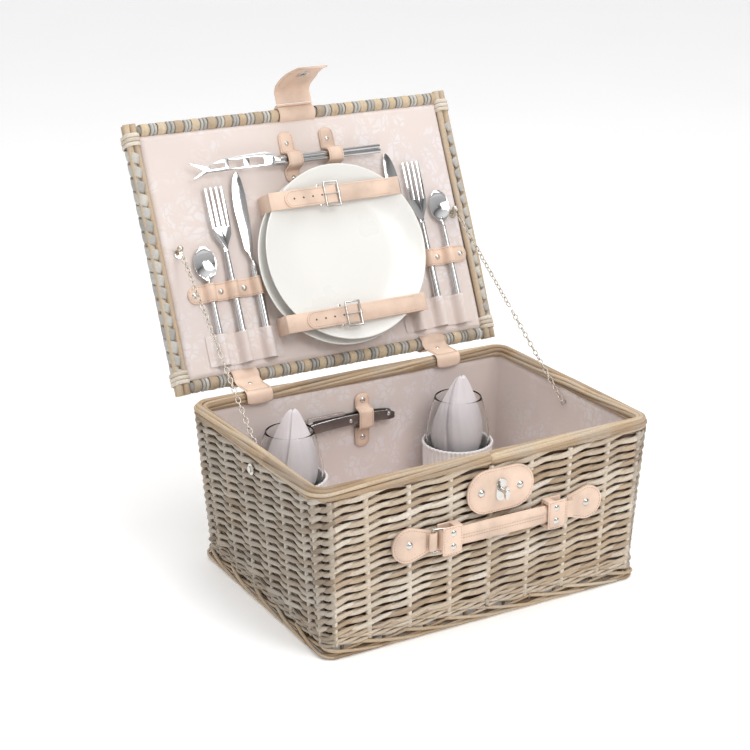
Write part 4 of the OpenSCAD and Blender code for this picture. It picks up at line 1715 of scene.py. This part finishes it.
class Corkscrew:
    """The waiter's corkscrew and its strap."""

    def build(self) -> None:
        """Refines the strap and the steel and winds the worm."""
        self.strap()
        self.handle()
        refined("corkscrew_lever", "corkscrew_lever_steel", STEEL, 0.4 * MM)
        refined("corkscrew_blade", "corkscrew_blade_steel", STEEL, 0.3 * MM)
        low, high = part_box("corkscrew_worm")
        y = (low.y + high.y) / 2
        pin = Vector((high.x - 3.2 * MM, y, (low.z + high.z) / 2))
        shape = Shape()
        ring = [pin + Vector((2.4 * MM * math.cos(a), 0, 2.4 * MM * math.sin(a)))
                for a in (math.tau * i / 24 for i in range(24))]
        shape.tube(ring, 0.8 * MM, 8, closed=True)
        path = []
        for i in range(161):
            t = i / 160
            r = 2.1 * MM * min(1.0, t * 9, (1 - t) * 6 + 0.25)
            a = math.tau * 5 * t
            path.append(pin + Vector((-(3.2 + 28 * t) * MM, r * math.cos(a), r * math.sin(a))))
        shape.tube(path, lambda t: (0.75 - 0.45 * max(0.0, t - 0.9) * 10) * MM, 8, up=Vector((1, 0, 0)))
        piece(shape, "corkscrew_worm_steel", STEEL, "worm", ["corkscrew_worm"])

    def handle(self) -> None:
        """Builds the curved cheeks, the spine between them and the three pins."""
        low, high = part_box("corkscrew_handle")
        centre = (low + high) / 2
        long, tall = (high.x - low.x) / 2, (high.z - low.z) / 2
        place = Matrix.Translation((centre.x, high.y, centre.z)) @ UPRIGHT

        def bar(inset: float, deep: float) -> list[tuple[float, float]]:
            """Gives the curved outline of a cheek, moved in by inset."""
            reach = long - inset
            xs = [-1 + 2 * i / 40 for i in range(41)]
            top = [(x * reach, tall - inset - 3.4 * MM * x * x - 2.4 * MM * abs(x) ** 14) for x in xs]
            bottom = [(x * reach, tall + inset - deep - 3.4 * MM * x * x + 2.4 * MM * abs(x) ** 14)
                      for x in reversed(xs)]
            return top + bottom

        depth = high.y - low.y
        shape = slab([bar(0.0, 11.4 * MM)], 1.4 * MM, 0.45 * MM, 3).move(place)
        front = place @ Matrix.Translation((0, 0, depth - 1.4 * MM))
        shape.join(slab([bar(0.0, 11.4 * MM)], 1.4 * MM, 0.45 * MM, 3).move(front))
        run = [place @ Vector((x * long * 0.8, tall - 3.2 * MM - 2.2 * MM * x * x, depth / 2))
               for x in (-1 + i / 8 for i in range(17))]
        shape.tube(run, 1.3 * MM, 8, 3.0, up=Vector((0, 0, 1)))
        piece(shape, "corkscrew_handle_steel", DARK, "corkscrew", ["corkscrew_handle"])
        pins = Shape()
        for x in (-48.5, 0, 48.5):
            dome(pins, place @ Matrix.Translation((x * MM, 1 * MM, depth - 0.1 * MM)), 2.3 * MM, 1.0 * MM)
        edge = [place @ Vector((x * long * 0.985,
                                tall - 0.2 * MM - 3.4 * MM * x * x - 2.4 * MM * abs(x) ** 14,
                                depth - 0.7 * MM)) for x in (-1 + i / 20 for i in range(41))]
        pins.tube(edge, 0.5 * MM, 6)
        piece(pins, "corkscrew_pins", STEEL, "corkscrew")

    def strap(self) -> None:
        """Builds the strap with its rivets and stitches."""
        low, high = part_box("corkscrew_strap")
        handle = middle("corkscrew_handle").z
        place = Matrix.Translation(((low.x + high.x) / 2, high.y, handle)) @ UPRIGHT
        knots = [((low.z - handle) / MM, 1.2), (-30, 1.25), (-15, 1.4), (-11.6, 3.6), (-10.5, 8.2),
                 (-8, 11.0),
                 (0, 11.4), (8, 11.0), (10.5, 8.2), (11.6, 3.6), (15, 1.4), (22, 1.25),
                 ((high.z - handle) / MM, 1.2)]
        leather, stitches, rivets = Shape(), Shape(), Shape()
        Band(knots).build(place, leather, stitches)
        for y in (20, -24):
            dome(rivets, place @ Matrix.Translation((0, y * MM, 2.2 * MM)), 3.4 * MM, 1.9 * MM)
        piece(leather, "corkscrew_strap_leather", LEATHER, "basket", ["corkscrew_strap"])
        piece(stitches, "corkscrew_strap_stitches", THREAD, "basket")
        piece(rivets, "corkscrew_strap_rivets", NICKEL, "basket")


class Chains:
    """Twisted curb links along both check chains."""

    def build(self) -> None:
        """Builds the links of each half."""
        joints = {j["name"]: Vector(j["pos_m"]) for j in frame["joints"] if "pos_m" in j}
        for side in SIDE:
            low, top = joints[f"chain_{side}_low_swing"], joints[f"chain_{side}_top_swing"]
            along = (top - low).normalized()
            elbow = low + along * (130 * MM)
            for name, a, b in (("low", low, elbow), ("top", top, elbow)):
                node = f"chain_{side}_{'lower' if name == 'low' else 'upper'}"
                way = (b - a).normalized()
                length = (b - a).length
                count = max(1, round((length - 5 * MM) / (6.1 * MM)))
                shape = Shape()
                for i in range(count):
                    centre = a + way * (5.4 * MM + (length - 5.4 * MM) * i / count)
                    self.link(shape, centre, way, i)
                piece(shape, f"chain_{side}_{name}_links", CHAIN, f"chain_{side}_{name}", [node])
        finish_node("chain_eyebolts", NICKEL)
        finish_node("chain_ball_screws", CHAIN)

    def link(self, shape: Shape, centre: Vector, way: Vector, number: int) -> None:
        """Adds one oval link.

        Args:
            shape: Takes the link.
            centre: The link's middle.
            way: The chain's direction.
            number: The link's place in the chain.
        """
        first = way.orthogonal().normalized()
        turn = Matrix.Rotation(math.radians(90 * (number % 2) + RNG.uniform(-12, 12) + 30), 3, way)
        across = turn @ first
        path = []
        for i in range(20):
            a = math.tau * i / 20
            path.append(centre + way * (3.7 * MM * math.cos(a)) + across * (2.35 * MM * math.sin(a)))
        shape.tube(path, 0.62 * MM, 6, up=way.cross(across), closed=True)


# ---------------------------------------------------------------- tableware

class Plates:
    """Two coupe plates and the straps that hold them."""

    def build(self) -> None:
        """Turns the plates and dresses the straps and buckles."""
        for name in ("back", "front"):
            low, high = LID.box(f"plate_{name}")
            centre = (low + high) / 2
            place = LID_M @ Matrix.Translation((centre.x, centre.y, low.z))
            profile = [(0.0, 5.2), (20, 5.2), (44, 5.1), (50, 4.8), (50.6, 1.0), (51.5, 0.1), (53.8, 0.1),
                       (54.7, 1.0), (56, 4.2), (60, 5.2), (70, 6.1), (82, 9.0), (91, 12.4), (97, 15.6),
                       (98.6, 16.8), (99, 17.6),
                       (98.7, 18.1), (98.0, 18.3), (97.2, 18.0), (94, 16.6), (88, 14.2), (80, 11.7),
                       (72, 9.9),
                       (64, 9.0), (54, 8.6), (36, 8.5), (18, 8.4), (0.0, 8.4)]
            shape = Shape()
            shape.lathe([(r * MM, z * MM) for r, z in profile], place, 160)
            piece(shape, f"plate_{name}_china", PORCELAIN, "lid", [f"plate_{name}"])
        self.straps()
        refined("buckle_frames", "buckle_frames_metal", NICKEL, 0.15 * MM)
        for name in ("upper", "lower"):
            finish_node(f"buckle_prong_{name}", NICKEL)

    def straps(self) -> None:
        """Builds both plate straps, each with a rounded tongue past its buckle, its holes and its stitches."""
        leather, top, wide = Shape(), LID.box("plate_straps")[1].z, 10 * MM
        stitches, holes = Shape(), Shape()
        for u, left, right, tongue, buckle in ((188, -65.2, 100, -47, 11), (53, -73.2, 102.5, -50, 7.5)):
            u0 = u * MM
            knots = [(left + 2, -2.9), (left + 0.6, 6), (left, 14), (left + 1.0, 20), (left + 5, 24.6),
                     (left + 13, top / MM - 0.9), (right - 14, top / MM - 0.9), (right - 6, 24.4),
                     (right - 2.4, 20),
                     (right - 1.6, 14), (right - 5, 5), (right - 11, -2.9)]
            path = smooth_line(knots)
            rows = []
            for i, (x, h) in enumerate(path):
                before, after = path[max(0, i - 1)], path[min(len(path) - 1, i + 1)]
                d = Vector((after[0] - before[0], after[1] - before[1])).normalized()
                out = Vector((-d.y, d.x))
                for_row = []
                for v, o in ((-wide, -0.8), (-wide, 0.5), (-wide + 0.5 * MM, 0.9), (wide - 0.5 * MM, 0.9),
                             (wide, 0.5), (wide, -0.8)):
                    for_row.append(LID_M @ Vector(((x + out.x * o) * MM, u0 + v, (h + out.y * o) * MM)))
                rows.append(for_row)
            part = Shape()
            part.grid(rows, True)
            part.cap(0, 6)
            part.cap(len(part.points) - 6, 6)
            leather.join(part)
            outline = arc((tongue + 10) * MM, 0, 9.9 * MM, 90, 270, 14) + [((buckle + 6) * MM, -9.9 * MM),
                                                                          ((buckle + 6) * MM, 9.9 * MM)]
            flap = slab([outline], 1.5 * MM, 0.5 * MM)
            leather.join(flap.move(LID_M @ Matrix.Translation((0, u0, top + 0.1 * MM))))
            place = LID_M @ Matrix.Translation((0, u0, top + 1.62 * MM))
            out = LID_OUT
            inset = arc((tongue + 10) * MM, 0, 7.9 * MM, 90, 270, 14)
            line = [((buckle - 9) * MM, 7.9 * MM)] + inset + [((buckle - 9) * MM, -7.9 * MM)]
            stitch_line([place @ Vector((x, y, 0)) for x, y in line], stitches, out, closed=False)
            for side in (-1, 1):
                edge = LID_M @ Matrix.Translation((0, u0, top + 0.05 * MM))
                run = [edge @ Vector((x * MM, side * 7.9 * MM, 0)) for x in (buckle + 12, right - 14)]
                stitch_line(run, stitches, out, closed=False)
            # Each hole is a dark disc on the strap, painted shade where the hole is.
            for k in range(4):
                x = (buckle - 12 - 11.5 * k) * MM
                holes.lathe([(0.0, 1.66 * MM), (1.1 * MM, 1.66 * MM), (1.1 * MM, 1.3 * MM)],
                            LID_M @ Matrix.Translation((x, u0, top + 0.02 * MM)), 14)
        piece(leather, "plate_strap_leather", LEATHER, "lid", ["plate_straps"])
        piece(stitches, "plate_strap_stitches", THREAD, "lid")
        piece(holes, "plate_strap_hole_shade", HOLE_SHADE, "lid")


class Glasses:
    """Stemless wine glasses, each with a rolled napkin in it."""

    def build(self) -> None:
        """Turns the glasses and rolls the napkins."""
        for side in SIDE:
            low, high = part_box(f"glass_{side}")
            centre = (low + high) / 2
            place = Matrix.Translation((centre.x, centre.y, low.z))
            outer = [(0, 0.1), (29, 0.1), (30, 0.8), (29.4, 1.5), (20, 2.2), (9, 3.4), (4.2, 6), (2.9, 12),
                     (2.6, 22),
                     (2.8, 36), (3.6, 42), (9, 44.3), (18, 48.4), (25, 54), (30.5, 61), (34, 68),
                     (35.8, 76),
                     (35.9, 82), (35.2, 92), (33.2, 104), (30.2, 117), (27.2, 127), (26.2, 129.6),
                     (25.6, 130)]
            inner = [(25.0, 129.6), (25.8, 127), (28.8, 117), (31.8, 104), (33.8, 92), (34.4, 82),
                     (34.2, 76),
                     (32.4, 68.6), (28.9, 62), (23.6, 55.8), (17, 50.4), (8.5, 46.4), (0, 45.4)]
            shape = Shape()
            shape.lathe([(r * MM, z * MM) for r, z in outer + inner], place, 96)
            piece(shape, f"wine_glass_{side}", GLASS, f"glass_{side}", [f"glass_{side}"])
            self.napkin(side, place)

    def napkin(self, side: str, place: Matrix) -> None:
        """Rolls a cloth into a cone with a soft peak.

        Args:
            side: The glass's side.
            place: The glass's foot.
        """
        flip = SIDE[side]
        levels = [(60, 20.0), (63, 25.0), (68, 28.2), (76, 30.4), (86, 31.0), (97, 30.0), (108, 27.2),
                  (117, 24.2), (124, 21.6), (130, 18.8), (136, 15.8), (141, 13.2), (145.5, 10.6),
                  (149, 8.4),
                  (151.8, 6.2), (153.4, 4.0), (153.8, 1.2)]
        steps, turns, facing = 168, 1.9, 4.3
        rows = []
        for z, r in levels:
            row = []
            up = (z - 60) / 94
            for i in range(steps + 1):
                t = i / steps
                a = facing + flip * (math.tau * turns * (t - 1) - 0.5 * up)
                fold = 0.05 * math.sin(3 * a + 1.8 * up) + 0.07 * up * math.sin(5 * a - 3 * up)
                fold += 0.035 * math.sin(4 * a + 0.6) ** 3 * (0.4 + up)
                fold += 0.012 * math.sin(17 * a + 9 * up)
                size = r * (1 - 0.20 * (1 - t) - 0.02) * (1 + fold)
                lip = 0.9 * math.exp(-((1 - t) / 0.012) ** 2)
                flat = 1 - 0.45 * up ** 3
                x = (size + lip) * math.cos(a - 0.4)
                y = (size + lip) * math.sin(a - 0.4) * flat
                lean = Vector((3.0 * up ** 2, -1.5 * up ** 2, 0.8 * math.sin(2 * a) * up ** 2))
                row.append(place @ ((Vector((x, y, z)) + lean) * MM))
            rows.append(row)
        shape = Shape()
        shape.grid(rows)
        made = piece(shape, f"napkin_{side}_cloth", NAPKIN, f"napkin_{side}", [f"napkin_{side}"],
                     subdivide=1)
        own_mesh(made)


class Cutlery:
    """Knives, forks, spoons and the cheese knife."""

    def build(self) -> None:
        """Rounds the blades and tines and turns the handles."""
        for side in SIDE:
            self.knife(side)
            for kind in ("fork", "spoon"):
                refined(f"{kind}_{side}", f"{kind}_{side}_steel", STEEL, 0.35 * MM)
        refined("cheese_knife", "cheese_knife_steel", STEEL, 0.35 * MM)
        self.cheese_loops()
        finish_node("lid_rivets", NICKEL)

    def knife(self, side: str) -> None:
        """Builds one table knife.

        Args:
            side: Its side of the lid.
        """
        flip = SIDE[side]
        edge = [(-1.6, 126), (-2.2, 132), (-4, 139), (-7.6, 144)]
        edge += [(-10 + 12.5 * (1 - math.cos(a)), 188 + 42 * math.sin(a))
                 for a in (math.radians(6 * i) for i in range(16))]
        edge += [(5.4, 221), (7, 205), (6.3, 180), (4.8, 158), (2.2, 140), (1.6, 126)]
        outline = [(-flip * x * MM, u * MM) for x, u in edge]
        place = LID_M @ Matrix.Translation((LAYOUT_X + flip * 95.5 * MM, 0, 2.2 * MM))
        shape = slab([outline], 1.6 * MM, 0.62 * MM, 3).move(place)
        handle = [(0, 26), (4.0, 26), (4.55, 26.6), (4.55, 28), (4.4, 70), (4.0, 118), (3.9, 123),
                  (4.2, 123.4),
                  (4.2, 125), (3.8, 125.6), (2.6, 128), (1.5, 130.5), (0, 131)]
        turn = LID_M @ Matrix.Translation((LAYOUT_X + flip * 95.5 * MM, 0, 3 * MM))
        turn = turn @ Matrix.Rotation(-math.pi / 2, 4, "X")
        shape.lathe([(r * MM, z * MM) for r, z in handle], turn, 32)
        piece(shape, f"knife_{side}_steel", STEEL, f"knife_{side}", [f"knife_{side}"])

    def cheese_loops(self) -> None:
        """Builds the two leather loops over the cheese knife's handle."""
        low, high = LID.box("cheese_knife_loops")
        knife = 235 * MM
        leather, stitches = Shape(), Shape()
        for x in (-16 * MM, 35 * MM):
            place = LID_M @ Matrix.Translation((x, knife, low.z))
            knots = [((low.y - knife) / MM, 1.2), (-19, 1.25), (-12, 1.5), (-9.3, 4.5), (-8.2, 10.5),
                     (-6.4, 15.3),
                     (-3, 17.0), (0, 17.3), (3, 17.0), (6.4, 15.3), (8.2, 10.5), (9.3, 4.5), (12, 1.5),
                     (22, 1.25),
                     ((high.y - knife) / MM, 1.2)]
            Band(knots).build(place, leather, stitches)
        piece(leather, "cheese_knife_loop_leather", LEATHER, "lid", ["cheese_knife_loops"])
        piece(stitches, "cheese_knife_loop_stitches", THREAD, "lid")


# ---------------------------------------------------------------- lid

class LidFrame:
    """The lid's rods, their wrapping, the woven panel and the corner lashings."""

    def build(self) -> None:
        """Builds all of the lid's willow."""
        for name in ("front", "back"):
            self.wrapped(f"lid_{name}_rod", name)
        self.sides()
        self.panel()
        self.lashings()

    def wrapped(self, node: str, name: str) -> None:
        """Wraps a cross rod with wide strips and thin rods.

        Args:
            node: The CAD rod.
            name: The side's name.
        """
        low, high = LID.box(node)
        centre, r = (low + high) / 2, (high.y - low.y) / 2
        wide, thin, core = Shape(), Shape(), Shape()
        # The core under the wraps takes the darkest tone: painted shade in the gaps between the wraps.
        core.tube([LID_M @ Vector((x, centre.y, centre.z)) for x in (low.x, 0, high.x)], r - 2.2 * MM, 12,
                  tone=0.1)
        x, number = low.x + 3 * MM, 0
        while x < high.x - 5 * MM:
            strip = number % 3 == 0
            half = (RNG.uniform(4.2, 5.6) if strip else RNG.uniform(1.6, 2.1)) * MM
            x += half
            path = []
            lean = RNG.uniform(0.5, 1.6) * MM
            for i in range(20):
                a = math.tau * i / 20
                size = r - (0.9 if strip else 1.5) * MM
                path.append(LID_M @ Vector((x + lean * math.sin(a + 0.5), centre.y + size * math.cos(a),
                                            centre.z + size * math.sin(a))))
            axis = LID_ACROSS
            (wide if strip else thin).tube(path, half, 10, 0.17 if strip else 0.75, axis, True,
                                           tone=RNG.random())
            x += half + (1.3 if strip else 0.45) * MM
            number += 1
        thin.join(core)
        piece(wide, f"lid_{name}_strips", WRAP, "lid", [node])
        piece(thin, f"lid_{name}_wraps", SPLIT, "lid")

    def sides(self) -> None:
        """Builds the bundles of long rods with splits woven beside them."""
        low, high = LID.box("lid_side_rods")
        rods, splits = Shape(), Shape()
        for sign in (-1, 1):
            x0 = sign * (low.x * -1 - 7.5 * MM)
            for dx, h, r in ((-3.7, -4.4, 3.9), (3.6, -4.6, 3.9), (-3.5, -11.6, 3.8), (3.8, -12.2, 3.6),
                             (0.2, -17.0, 3.0)):
                path = []
                phase = RNG.random() * 6
                for i in range(25):
                    t = i / 24
                    x = x0 + sign * dx * MM + 0.5 * MM * math.sin(5 * t + phase)
                    u = low.y + (high.y - low.y) * t
                    path.append(LID_M @ Vector((x, u, (h + 0.4 * math.sin(7 * t + phase)) * MM)))
                rods.tube(path, r * MM * RNG.uniform(0.92, 1.02), 10, tone=RNG.uniform(0.25, 0.85))
            u = 27 * MM
            while u < 270 * MM:
                path = []
                for i in range(9):
                    t = i / 8
                    a = math.pi * (1.15 - 1.3 * t)
                    path.append(LID_M @ Vector((x0 + sign * (1.0 + 6.5 * math.sin(a) * 1.02) * MM,
                                                u + (7 - 14 * t) * MM, (-9.7 + 9.6 * math.cos(a)) * MM)))
                along = LID_UP
                splits.tube(path, RNG.uniform(5.2, 6.4) * MM, 8, 0.11, along, tone=RNG.random())
                u += RNG.uniform(13.5, 16) * MM
        piece(rods, "lid_side_bundle", WILLOW_TAN, "lid", ["lid_side_rods"])
        piece(splits, "lid_side_splits", SPLIT, "lid")

    def panel(self) -> None:
        """Builds the woven panel on the lid's outside."""
        low, high = LID.box("lid_panel")
        low, high = low - Vector((0, 2.4 * MM, 0)), high + Vector((0, 2.4 * MM, 0))
        depth = (low.z + high.z) / 2
        shape = Shape()
        pitch, spacing = 4.5 * MM, 46 * MM
        rows = int((high.y - low.y) / pitch)
        for row in range(rows):
            u = low.y + (row + 0.5) * pitch
            cells = [RNG.random() for _ in range(12)]
            fat = RNG.uniform(0.88, 1.08)
            steps = 110

            def turn_at(t: float, row: int = row) -> float:
                """Gives the rod's place in its swing."""
                return math.pi * ((low.x + (high.x - low.x) * t) / spacing + row)

            path = []
            for i in range(steps + 1):
                t = i / steps
                a = turn_at(t)
                path.append(LID_M @ Vector((low.x + (high.x - low.x) * t, u + 2.2 * MM * math.sin(a),
                                            depth - 2.2 * MM * math.cos(a))))
            shape.tube(path, lambda t, f=fat, ta=turn_at: 3.0 * MM * f * (0.8 + 0.2 * abs(math.cos(ta(t)))),
                       8, 0.55,
                       LID_UP,
                       tone=lambda t, c=cells, row=row: c[int(t * 5.9 + (row % 2) * 0.5 * 5)])
        for k in range(-3, 5):
            x = k * spacing
            if low.x < x < high.x:
                line = [LID_M @ Vector((x, u, depth)) for u in (low.y, (low.y + high.y) / 2, high.y)]
                shape.tube(line, 2.3 * MM, 8, tone=RNG.uniform(0.6, 0.9))
        piece(shape, "lid_panel_weave", WILLOW, "lid", ["lid_panel"])

    def lashings(self) -> None:
        """Binds each corner of the lid with three turns of split willow."""
        low, high = LID.box("lid_lashings")
        shape = Shape()
        middle_h = (low.z + high.z) / 2
        for sign in (-1, 1):
            x0 = sign * (high.x - 9 * MM)
            for u0 in (18, 278):
                for k in range(3):
                    u = (u0 + (k - 1) * 4.7) * MM
                    path = []
                    for i in range(28):
                        a = math.tau * i / 28
                        x = 8.6 * MM * math.copysign(abs(math.cos(a)) ** 0.7, math.cos(a))
                        h = 10.6 * MM * math.copysign(abs(math.sin(a)) ** 0.7, math.sin(a))
                        path.append(LID_M @ Vector((x0 + x, u + 1.0 * MM * math.sin(a), middle_h + h)))
                    shape.tube(path, 2.3 * MM, 8, 0.45, LID_UP, True,
                               RNG.uniform(0.6, 1.0))
        piece(shape, "lid_corner_lashings", WILLOW, "lid", ["lid_lashings"])


class HingeAndHasp:
    """The leather that crosses the hinge, and the hasp."""

    def build(self) -> None:
        """Builds the hinge straps and dresses the hasp."""
        rod_low, rod_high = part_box("lid_back_rod")
        rod = (rod_low + rod_high) / 2
        wide = 15.5 * MM
        for number, x in enumerate((-122 * MM, 116 * MM)):
            knots = [(125.0, 168), (125.2, 174), (126.0, 179.6), (128.4, 182.4), (134, 183.2), (144, 183.1),
                     (152, 183.2)]
            points = [Vector((y * MM, z * MM)) for y, z in knots]
            centre = Vector((rod.y, rod.z))
            r = 8.9 * MM
            points += [centre + Vector((r * math.cos(math.radians(a)), r * math.sin(math.radians(a))))
                       for a in range(175, -160, -15)]
            rows = []
            for i, p in enumerate(points):
                d = (points[min(len(points) - 1, i + 1)] - points[max(0, i - 1)]).normalized()
                out = Vector((-d.y, d.x))
                section = ((-wide, -0.8), (-wide, 0.5), (-wide + 0.5 * MM, 0.9), (wide - 0.5 * MM, 0.9),
                           (wide, 0.5), (wide, -0.8))
                rows.append([Vector((x + v, p.x + out.x * o * MM, p.y + out.y * o * MM)) for v,
                             o in section])
            shape = Shape()
            shape.grid(rows, True)
            shape.cap(0, 6)
            shape.cap(len(shape.points) - 6, 6)
            made = piece(shape, f"hinge_leather_{number + 1}", LEATHER, "basket",
                         ["hinge_straps"] if number == 0 else [], subdivide=1)
            made.parent = None
            if "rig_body" in made:
                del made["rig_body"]
            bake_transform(made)
            line = Shape()
            outline = [(128.5, -13.2), (151, -13.2), (151, 13.2), (128.5, 13.2)]
            stitch_line([Vector((x + b * MM, a * MM, 184.15 * MM)) for a, b in outline], line,
                        Vector((0, 0, 1)))
            piece(line, f"hinge_stitches_{number + 1}", THREAD, "basket")
        finish_node("hinge_strap_rivets", NICKEL)
        refined("hasp_flap", "hasp_leather", LEATHER, 0.6 * MM)
        refined("hasp_root", "hasp_root_leather", LEATHER, 0.4 * MM)
        self.hasp_stitches()
        refined("hasp_eyelet", "hasp_eyelet_metal", NICKEL, 0.4 * MM)

    def hasp_stitches(self) -> None:
        """Adds the stitches round the hasp's edge on both faces."""
        line = smooth_line([(319, 6), (322, 14), (325, 32), (325, 50), (323, 64), (319, 75)], 6)
        centre_x = lid_middle("hasp_flap").x

        def on_flap(x: float, h: float, face: int) -> Vector:
            """Gives a point on one face of the flap."""
            for (u0, h0), (u1, h1) in zip(line, line[1:]):
                if h <= h1:
                    break
            t = min(1.0, max(0.0, (h - h0) / (h1 - h0)))
            u = u0 + (u1 - u0) * t + face * 1.15
            return LID_M @ Vector((centre_x + x * MM, u * MM, h * MM))

        outline = [(-19.8, 8), (-19.8, 20), (-15, 56)]
        turns = [math.pi - math.pi * i / 16 for i in range(17)]
        outline += [(15 * math.cos(a), 56 + 15 * math.sin(a)) for a in turns]
        outline += [(15, 56), (19.8, 20), (19.8, 8)]
        shape = Shape()
        for face in (-1, 1):
            points = []
            for (x0, h0), (x1, h1) in zip(outline, outline[1:]):
                points += [on_flap(x0 + (x1 - x0) * k / 6, h0 + (h1 - h0) * k / 6, face) for k in range(6)]
            out = (LID_M.to_3x3() @ Vector((0, face, 0))).normalized()
            stitch_line(points, shape, out, closed=False)
        piece(shape, "hasp_stitches", THREAD, "hasp")


# ---------------------------------------------------------------- light and camera

@dataclass
class Studio:
    """The pale floor, the soft lights and the camera.

    Attributes:
        lens: The camera's focal length in millimetres.
        spot: Where the camera stands.
        aim: What it looks at.
        glow: Grey levels of the surroundings, from below to above.
        lamps: Each lamp's name, place, power in watts and width.
    """

    lens: float = 83.89
    spot: Point = (-0.8883, -1.4562, 0.8291)
    aim: Point = (-0.0524, 0, 0.2274)
    glow: Sequence[tuple[float, float]] = (
        (0.0, 0.7), (0.47, 0.45), (0.53, 0.08), (0.62, 0.4), (0.76, 0.95), (1.0, 1.35))
    lamps: Sequence[tuple[str, Point, float, float]] = (
        ("key", (0.6, -1.9, 1.7), 14, 0.9), ("fill", (-1.6, -1.2, 1.3), 3, 1.2),
        ("top", (0.2, 0.3, 2.4), 18, 1.8), ("inside", (0.05, -0.55, 0.95), 1.6, 0.35))

    def build(self) -> None:
        """Sets them all up."""
        scene = bpy.context.scene
        bpy.ops.mesh.primitive_plane_add(size=30, location=(0, 0, -0.0004))
        floor = bpy.context.object
        floor.name = "studio_floor"
        paint = Paint("floor_white", Specular_IOR_Level=0.2, Emission_Strength=0.16)
        grain = paint.noise(3.0, 2.0)
        paint.set("Base Color", paint.mix(grain, (0.93, 0.93, 0.93), (0.95, 0.95, 0.95)))
        paint.set("Emission Color", paint.mix(grain, (0.98, 0.98, 0.98), (1.0, 1.0, 1.0)))
        paint.set("Roughness", 0.55 + grain * 0.1)
        floor.data.materials.append(paint.material)
        world = bpy.data.worlds.new("studio")
        scene.world = world
        world.use_nodes = True
        nodes, links = world.node_tree.nodes, world.node_tree.links
        back = nodes["Background"]
        back.inputs["Strength"].default_value = 1.0
        ramp = nodes.new("ShaderNodeValToRGB")
        places = nodes.new("ShaderNodeTexCoord")
        split = nodes.new("ShaderNodeSeparateXYZ")
        links.new(places.outputs["Generated"], split.inputs[0])
        links.new(split.outputs["Z"], ramp.inputs[0])
        while len(ramp.color_ramp.elements) < len(self.glow):
            ramp.color_ramp.elements.new(0.5)
        for element, (place, level) in zip(ramp.color_ramp.elements, self.glow):
            element.position = place
            element.color = (level, level, level, 1)
        links.new(ramp.outputs[0], back.inputs["Color"])
        for lamp in self.lamps:
            self.lamp(*lamp)
        camera = bpy.data.objects.new("camera", bpy.data.cameras.new("camera"))
        scene.collection.objects.link(camera)
        camera.data.lens = self.lens
        camera.data.sensor_width = 36
        spot, aim = Vector(self.spot), Vector(self.aim)
        camera.location = spot
        camera.rotation_euler = (aim - spot).to_track_quat("-Z", "Y").to_euler()
        scene.camera = camera
        scene.view_settings.view_transform = "Standard"
        scene.view_settings.exposure = 0.0

    def lamp(self, name: str, spot: Point, power: float, size: float) -> None:
        """Adds a soft lamp aimed at the basket.

        Args:
            name: The lamp's name.
            spot: Where it stands.
            power: Its power in watts.
            size: Its width.
        """
        data = bpy.data.lights.new(name, "AREA")
        data.energy = power
        data.size = size
        made = bpy.data.objects.new(name, data)
        bpy.context.scene.collection.objects.link(made)
        made.location = spot
        made.rotation_euler = (Vector((0, 0, 0.15)) - Vector(spot)).to_track_quat("-Z", "Y").to_euler()


def main() -> None:
    """Builds the basket and its setting in order."""
    logging.basicConfig(level=logging.INFO, format="%(message)s")
    for part in (BasketShell(), BodyLining(), LidLining(), GlassPockets(), LidHolders(), LidFrame(),
                 FrontHardware(), Corkscrew(), Chains(), Plates(), Glasses(), Cutlery(), HingeAndHasp(),
                 Studio()):
        part.build()


if __name__ == "__main__":
    main()
